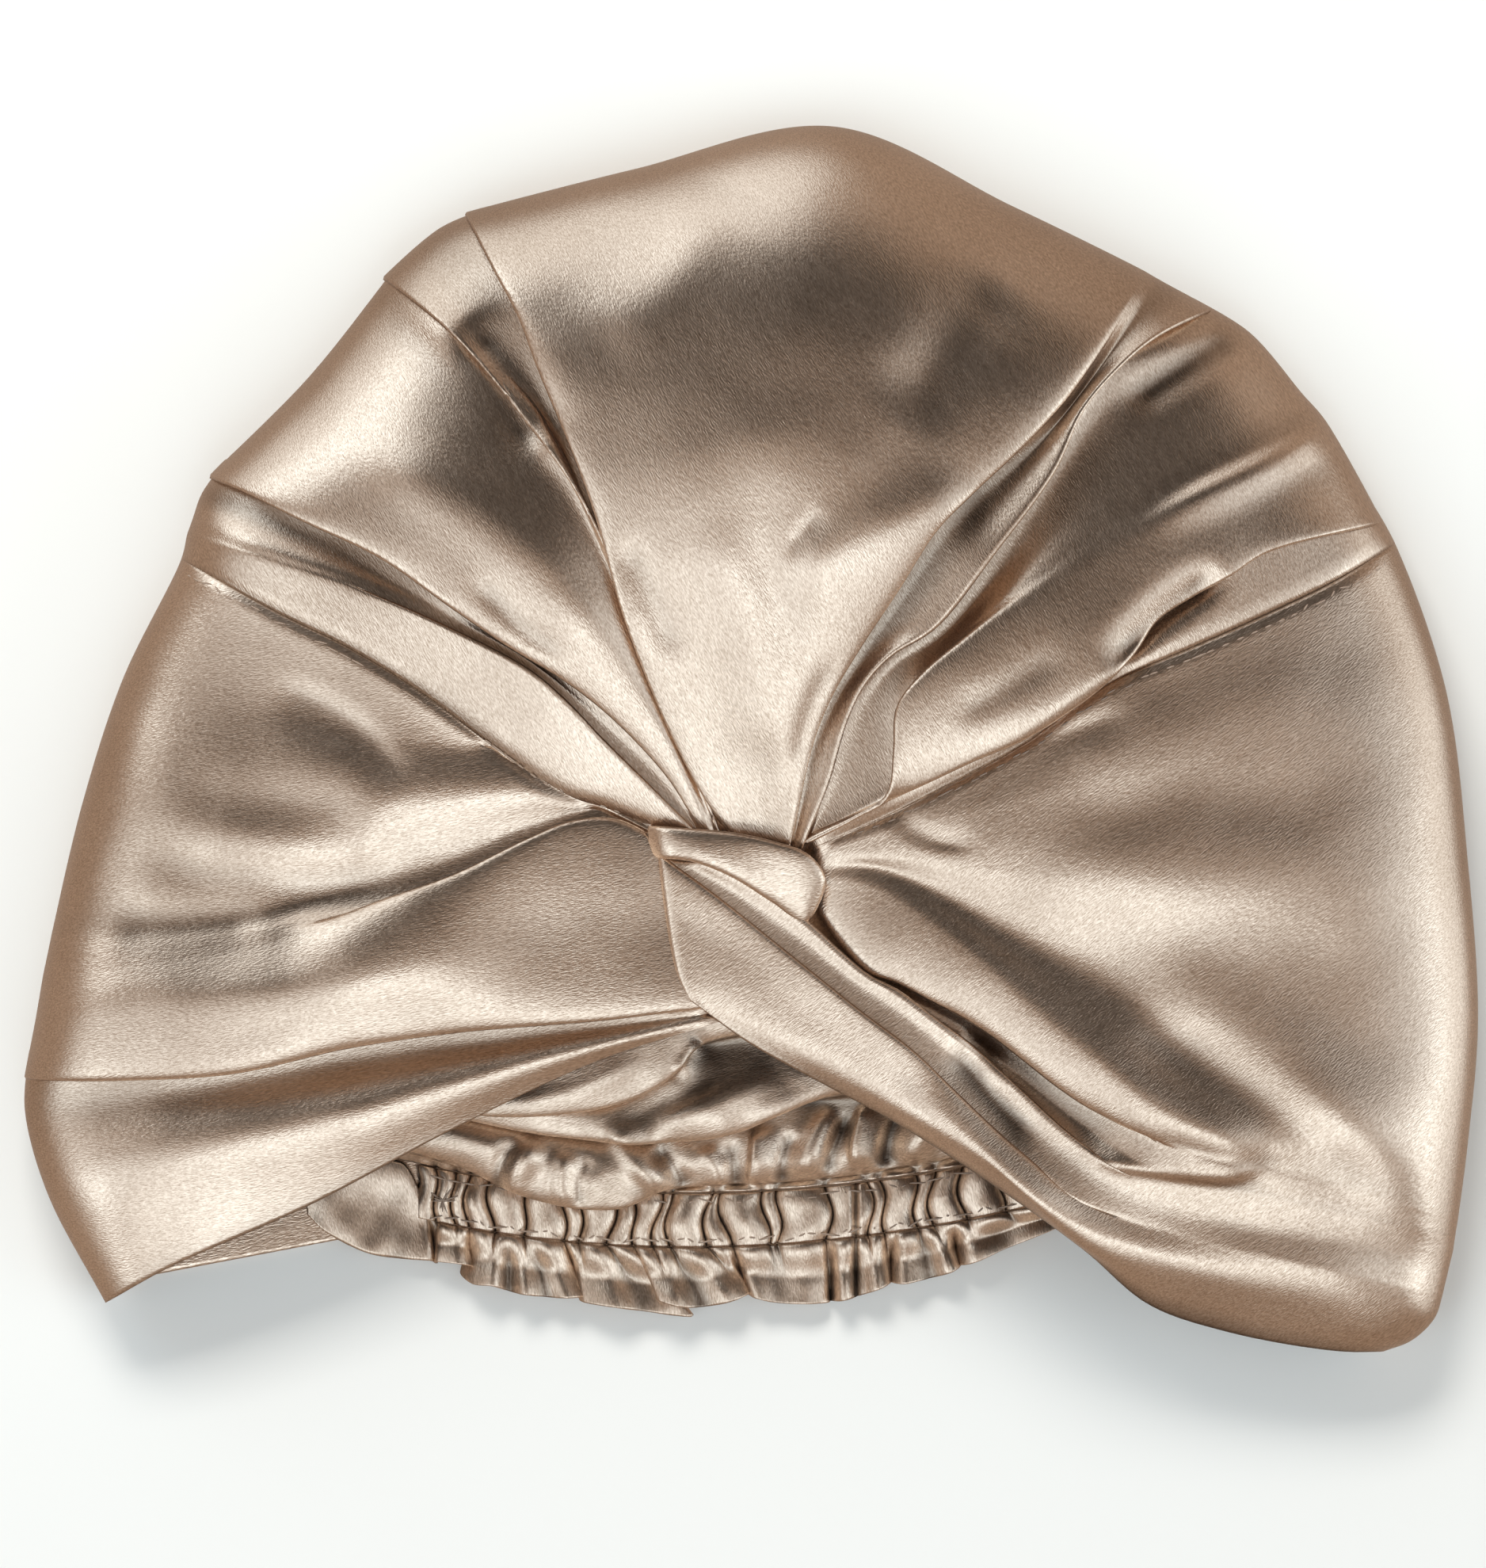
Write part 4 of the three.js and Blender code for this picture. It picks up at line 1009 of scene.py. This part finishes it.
def makeLining():
    across = np.linspace(lining["from"], lining["to"], lining["columns"])
    lines = []
    for _, places in liningLines:
        spots = [place(x, y, z * mm) for x, y, z in places]
        dense = lineThrough(spots, [lining["acrossSteps"]] * (len(spots) - 1))
        x = across * bonnet["halfWidth"]
        y, z = [np.interp(x, dense[:, 0], dense[:, k]) for k in (1, 2)]
        lines.append(np.stack([x, y, z], axis=1))
    points = lineThrough(lines, lining["steps"]).transpose(1, 0, 2)
    points = press(points, liningCreases, np.ones(points.shape[:2]))
    shares = np.interp(points[:, 0, 0], napeLine[:, 0], napeSteps)
    up = np.linspace(0, 1, points.shape[1])
    footing = 1 - smoothStep(0.0, lining["footing"], up)
    foot = napePoints(shares, -nape["clear"], 0)
    foot[:, 2] = channelHeight(np.clip(shares, channel["from"], channel["last"]), 0)
    points += (foot - points[:, 0])[:, None] * footing[None, :, None]
    inner = smoothStep(0.0, lining["calm"], up)[None] * np.ones((len(points), 1))
    for size, depth in (lining["rumple"], lining["fineRumple"]):
        points = rumple(points, size, depth, inner)
    # painted shade for the lining's folds
    paintedShade = paintedShadeOf(points, *lining["hollow"])
    piece = makeSheet("lining_satin", points, liningSatin, lining["cloth"], paintedShade)
    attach(piece, "root")
    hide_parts("lining")
    print("lining area", round(sheetArea(points), 4), "top", round(points[..., 2].max() / mm, 1))
    return piece


liningPiece = makeLining()


# The free edge, in the order of the cloth. A row says top, the share where it leaves the lower row of
# stitches, edge, the share where it ends up, depth, how far it hangs, and rise, how high its edge stands.
# Where edge runs backwards the cloth folds under itself.
ruffleRows = [
    (-0.26, -0.24, 0.5, 0.3), (-0.2, -0.2, 0.72, 0.42), (-0.14, -0.13, 0.85, 0.5), (-0.08, -0.07, 0.8, 0.38),
    (-0.045, -0.02, 0.72, 0.5), (-0.02, -0.005, 0.75, 0.1), (0.012, 0.0, 0.7, 0.7), (0.03, 0.035, 0.66, 0.9),
    (0.05, 0.06, 0.7, 0.3), (0.06, 0.04, 0.8, 0.08), (0.085, 0.065, 0.98, 0.75), (0.105, 0.095, 0.95, 1.0),
    (0.125, 0.125, 1.0, 0.55), (0.145, 0.155, 1.02, 0.95), (0.165, 0.19, 1.02, 0.6), (0.185, 0.225, 1.0, 0.9),
    (0.205, 0.258, 0.95, 0.4), (0.222, 0.25, 0.96, 0.08), (0.245, 0.262, 1.06, 0.7), (0.27, 0.31, 1.1, 0.9),
    (0.295, 0.365, 1.16, 0.5), (0.315, 0.43, 1.24, 0.45), (0.33, 0.425, 1.1, 0.1), (0.345, 0.385, 0.95, 0.95),
    (0.375, 0.415, 1.04, 1.1), (0.41, 0.455, 1.06, 0.7), (0.44, 0.5, 0.98, 1.0), (0.475, 0.535, 0.85, 0.5),
    (0.5, 0.53, 0.8, 0.08), (0.525, 0.55, 0.95, 0.7), (0.565, 0.585, 1.05, 0.55), (0.605, 0.625, 1.1, 0.62),
    (0.645, 0.655, 1.12, 0.5), (0.665, 0.668, 1.1, 0.12), (0.685, 0.69, 1.1, 0.85), (0.71, 0.715, 1.05, 0.6),
    (0.73, 0.745, 0.98, 0.95), (0.755, 0.765, 0.88, 0.35), (0.77, 0.76, 0.86, 0.1), (0.785, 0.79, 0.95, 0.85),
    (0.81, 0.83, 0.92, 0.5), (0.83, 0.86, 0.88, 0.9), (0.85, 0.875, 0.8, 0.3), (0.865, 0.868, 0.78, 0.1),
    (0.885, 0.9, 0.78, 0.85), (0.92, 0.95, 0.65, 0.55), (0.96, 1.0, 0.55, 0.6), (1.02, 1.06, 0.45, 0.3),
]
ruffle = {
    "steps": 10, "rows": 30, "high": 6 * mm, "start": 2.2 * mm, "rumple": (6 * mm, 0.7 * mm),
    "leaves": 0.07,  # past the channel's end the cloth goes up to the lobe over this share
    "from": 0.2 * mm,  # how far from the lower row of stitches it starts
    "bend": 0.8,  # lower lets it spread and rise sooner
    "settled": 0.6,  # share of its depth at which it has left the channel's height
    "cloth": 0.5 * mm,
    # reach along and across, in points, and depth of the painted shade in the folds
    "hollow": (9, 3, 1.5 * mm),
}


def makeRuffle():
    line = lineThrough(np.array(ruffleRows), [ruffle["steps"]] * (len(ruffleRows) - 1))
    top, edge, depth, rise = line.T
    begin = nape["channel"] * smoothStep(-ruffle["leaves"], 0.0, top)
    held = channelHeight(np.clip(top, channel["from"], channel["last"]), 1)
    held = np.where(top < 0, ruffle["start"], held)
    rows = []
    for w in np.linspace(1, 0, ruffle["rows"]):
        share = top + (edge - top) * w ** ruffle["bend"]
        outward = begin + ruffle["from"] + w * (nape["channel"] - begin + depth * nape["ruffle"])
        stitched = held * (1 - smoothStep(0, ruffle["settled"], w))
        points = napePoints(share, outward, 0)
        points[:, 2] = lying + stitched + rise * ruffle["high"] * math.sin(w * math.pi / 2) ** ruffle["bend"]
        rows.append(points)
    points = np.stack(rows, axis=1)
    strength = np.linspace(1, 0, ruffle["rows"])[None] * np.ones((len(points), 1))
    points = rumple(points, *ruffle["rumple"], strength)
    points = press(points, [joinSeam], 1.0)
    points[..., 2] = np.maximum(points[..., 2], lying)
    # painted shade for the ruffle's folds
    paintedShade = paintedShadeOf(points, *ruffle["hollow"])
    piece = makeSheet("nape_ruffle_satin", points, napeSatin, ruffle["cloth"], paintedShade)
    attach(piece, "root")
    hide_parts("nape_ruffle")
    print("ruffle area", round(sheetArea(points), 5))
    return piece


rufflePiece = makeRuffle()

# Running stitches along the two side seams and the channel's two rows, and the knot that ends a thread.
# Each is a short thread that dips into the cloth at both ends.
threadFinish = {"colour": (0.33, 0.235, 0.17, 1), "roughness": 0.5}
threadPaint = bpy.data.materials.new("threadPaint")
threadPaint.use_nodes = True
threadShader = threadPaint.node_tree.nodes["Principled BSDF"]
threadShader.inputs["Base Color"].default_value = threadFinish["colour"]
threadShader.inputs["Roughness"].default_value = threadFinish["roughness"]
stitch = {
    "pitch": 3.1 * mm, "length": 2.1 * mm, "thick": 0.2 * mm, "proud": 0.12 * mm,
    "near": 1.2 * mm, "nearShare": 1.05,  # how far from its place the cloth's highest point may be
    "seamColumn": 2,  # columns from a side seam's edge to its stitches
    "seamWidth": 12,  # columns of the cloth that they may lie on
    "seamRows": (4, 86),  # rows from the twist outwards
    "napeShares": (-0.02, 1.02), "napePlaces": 80,
    "upper": 0.7 * mm, "lower": 0.6 * mm,  # from the channel's two edges to its rows of stitches
}
knot = {
    "threads": 11, "turn": 2.2, "reach": 1.5 * mm, "place": (-0.425, -0.765),
    "uneven": 0.6,  # share by which the bows differ in length
    "tilt": 0.3, "apart": 0.7, "lift": 0.3 * mm,
}


def surfaceAt(grid, flat):  # the highest point of a sheet's grid near a place
    apart = np.linalg.norm(grid[..., :2] - flat[:2], axis=-1)
    near = grid[apart < max(stitch["near"], apart.min() * stitch["nearShare"])]
    return near[near[:, 2].argmax()]


def sewStitches(bm, grid, line, lift):
    steps = np.linalg.norm(np.diff(line, axis=0), axis=1)
    reached = np.concatenate([[0], np.cumsum(steps)])
    for start in np.arange(stitch["pitch"] / 2, reached[-1] - stitch["length"], stitch["pitch"]):
        spots = [start, start + stitch["length"]]
        ends = np.stack([np.interp(spots, reached, line[:, k]) for k in range(3)], axis=1)
        a, b = [surfaceAt(grid, end) for end in ends]
        run = Vector(b - a)
        middle = (Vector(a) + Vector(b)) / 2 + Vector((0, 0, lift))
        thread = bmesh.ops.create_uvsphere(bm, u_segments=8, v_segments=5, radius=1)["verts"]
        bmesh.ops.scale(bm, vec=(stitch["thick"], stitch["thick"], run.length / 2), verts=thread)
        bmesh.ops.rotate(bm, matrix=run.to_track_quat("Z", "Y").to_matrix(), verts=thread)
        bmesh.ops.translate(bm, vec=middle, verts=thread)


def tieKnot(bm, middle):  # loose thread in short bows that lie over each other
    for k in range(knot["threads"]):
        turn = k * knot["turn"]
        reach = knot["reach"] * (1 + knot["uneven"] * math.sin(5 * k))
        on = Vector((math.cos(turn), math.sin(turn), knot["tilt"] * math.sin(3 * k)))
        thread = bmesh.ops.create_uvsphere(bm, u_segments=8, v_segments=6, radius=1)["verts"]
        bmesh.ops.scale(bm, vec=(stitch["thick"], stitch["thick"], reach), verts=thread)
        bmesh.ops.rotate(bm, matrix=on.to_track_quat("Z", "Y").to_matrix(), verts=thread)
        lift = Vector((0, 0, knot["lift"]))
        bmesh.ops.translate(bm, vec=Vector(middle) + on * reach * knot["apart"] + lift, verts=thread)


def makeStitches(name, rows, knotAt=None):
    bm = bmesh.new()
    for grid, line, lift in rows:
        sewStitches(bm, grid, line, lift)
    if knotAt is not None:
        tieKnot(bm, knotAt)
    mesh = bpy.data.meshes.new(name)
    bm.to_mesh(mesh)
    bm.free()
    mesh.polygons.foreach_set("use_smooth", [True] * len(mesh.polygons))
    mesh.materials.append(threadPaint)
    piece = bpy.data.objects.new(name, mesh)
    bpy.context.scene.collection.objects.link(piece)
    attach(piece, "root")
    print(name, "faces", len(mesh.polygons))


onSeam = bonnet["cloth"] / 2 + stitch["proud"]
seamRows = slice(*[fan["endRows"] + row for row in stitch["seamRows"]])
seamCloths = [grid[:stitch["seamWidth"]] for grid in (leftGrid[::-1], rightGrid)]
makeStitches("seam_stitches",
             [(cloth, cloth[stitch["seamColumn"], seamRows], onSeam) for cloth in seamCloths])
onChannel = channel["cloth"] / 2 + stitch["proud"]
napeShares = np.linspace(*stitch["napeShares"], stitch["napePlaces"])
channelRows = [napePoints(napeShares, outward, 0)
               for outward in (stitch["upper"], nape["channel"] - stitch["lower"])]
makeStitches("channel_stitches", [(channelGrid, row, onChannel) for row in channelRows],
             surfaceAt(channelGrid, place(*knot["place"])))
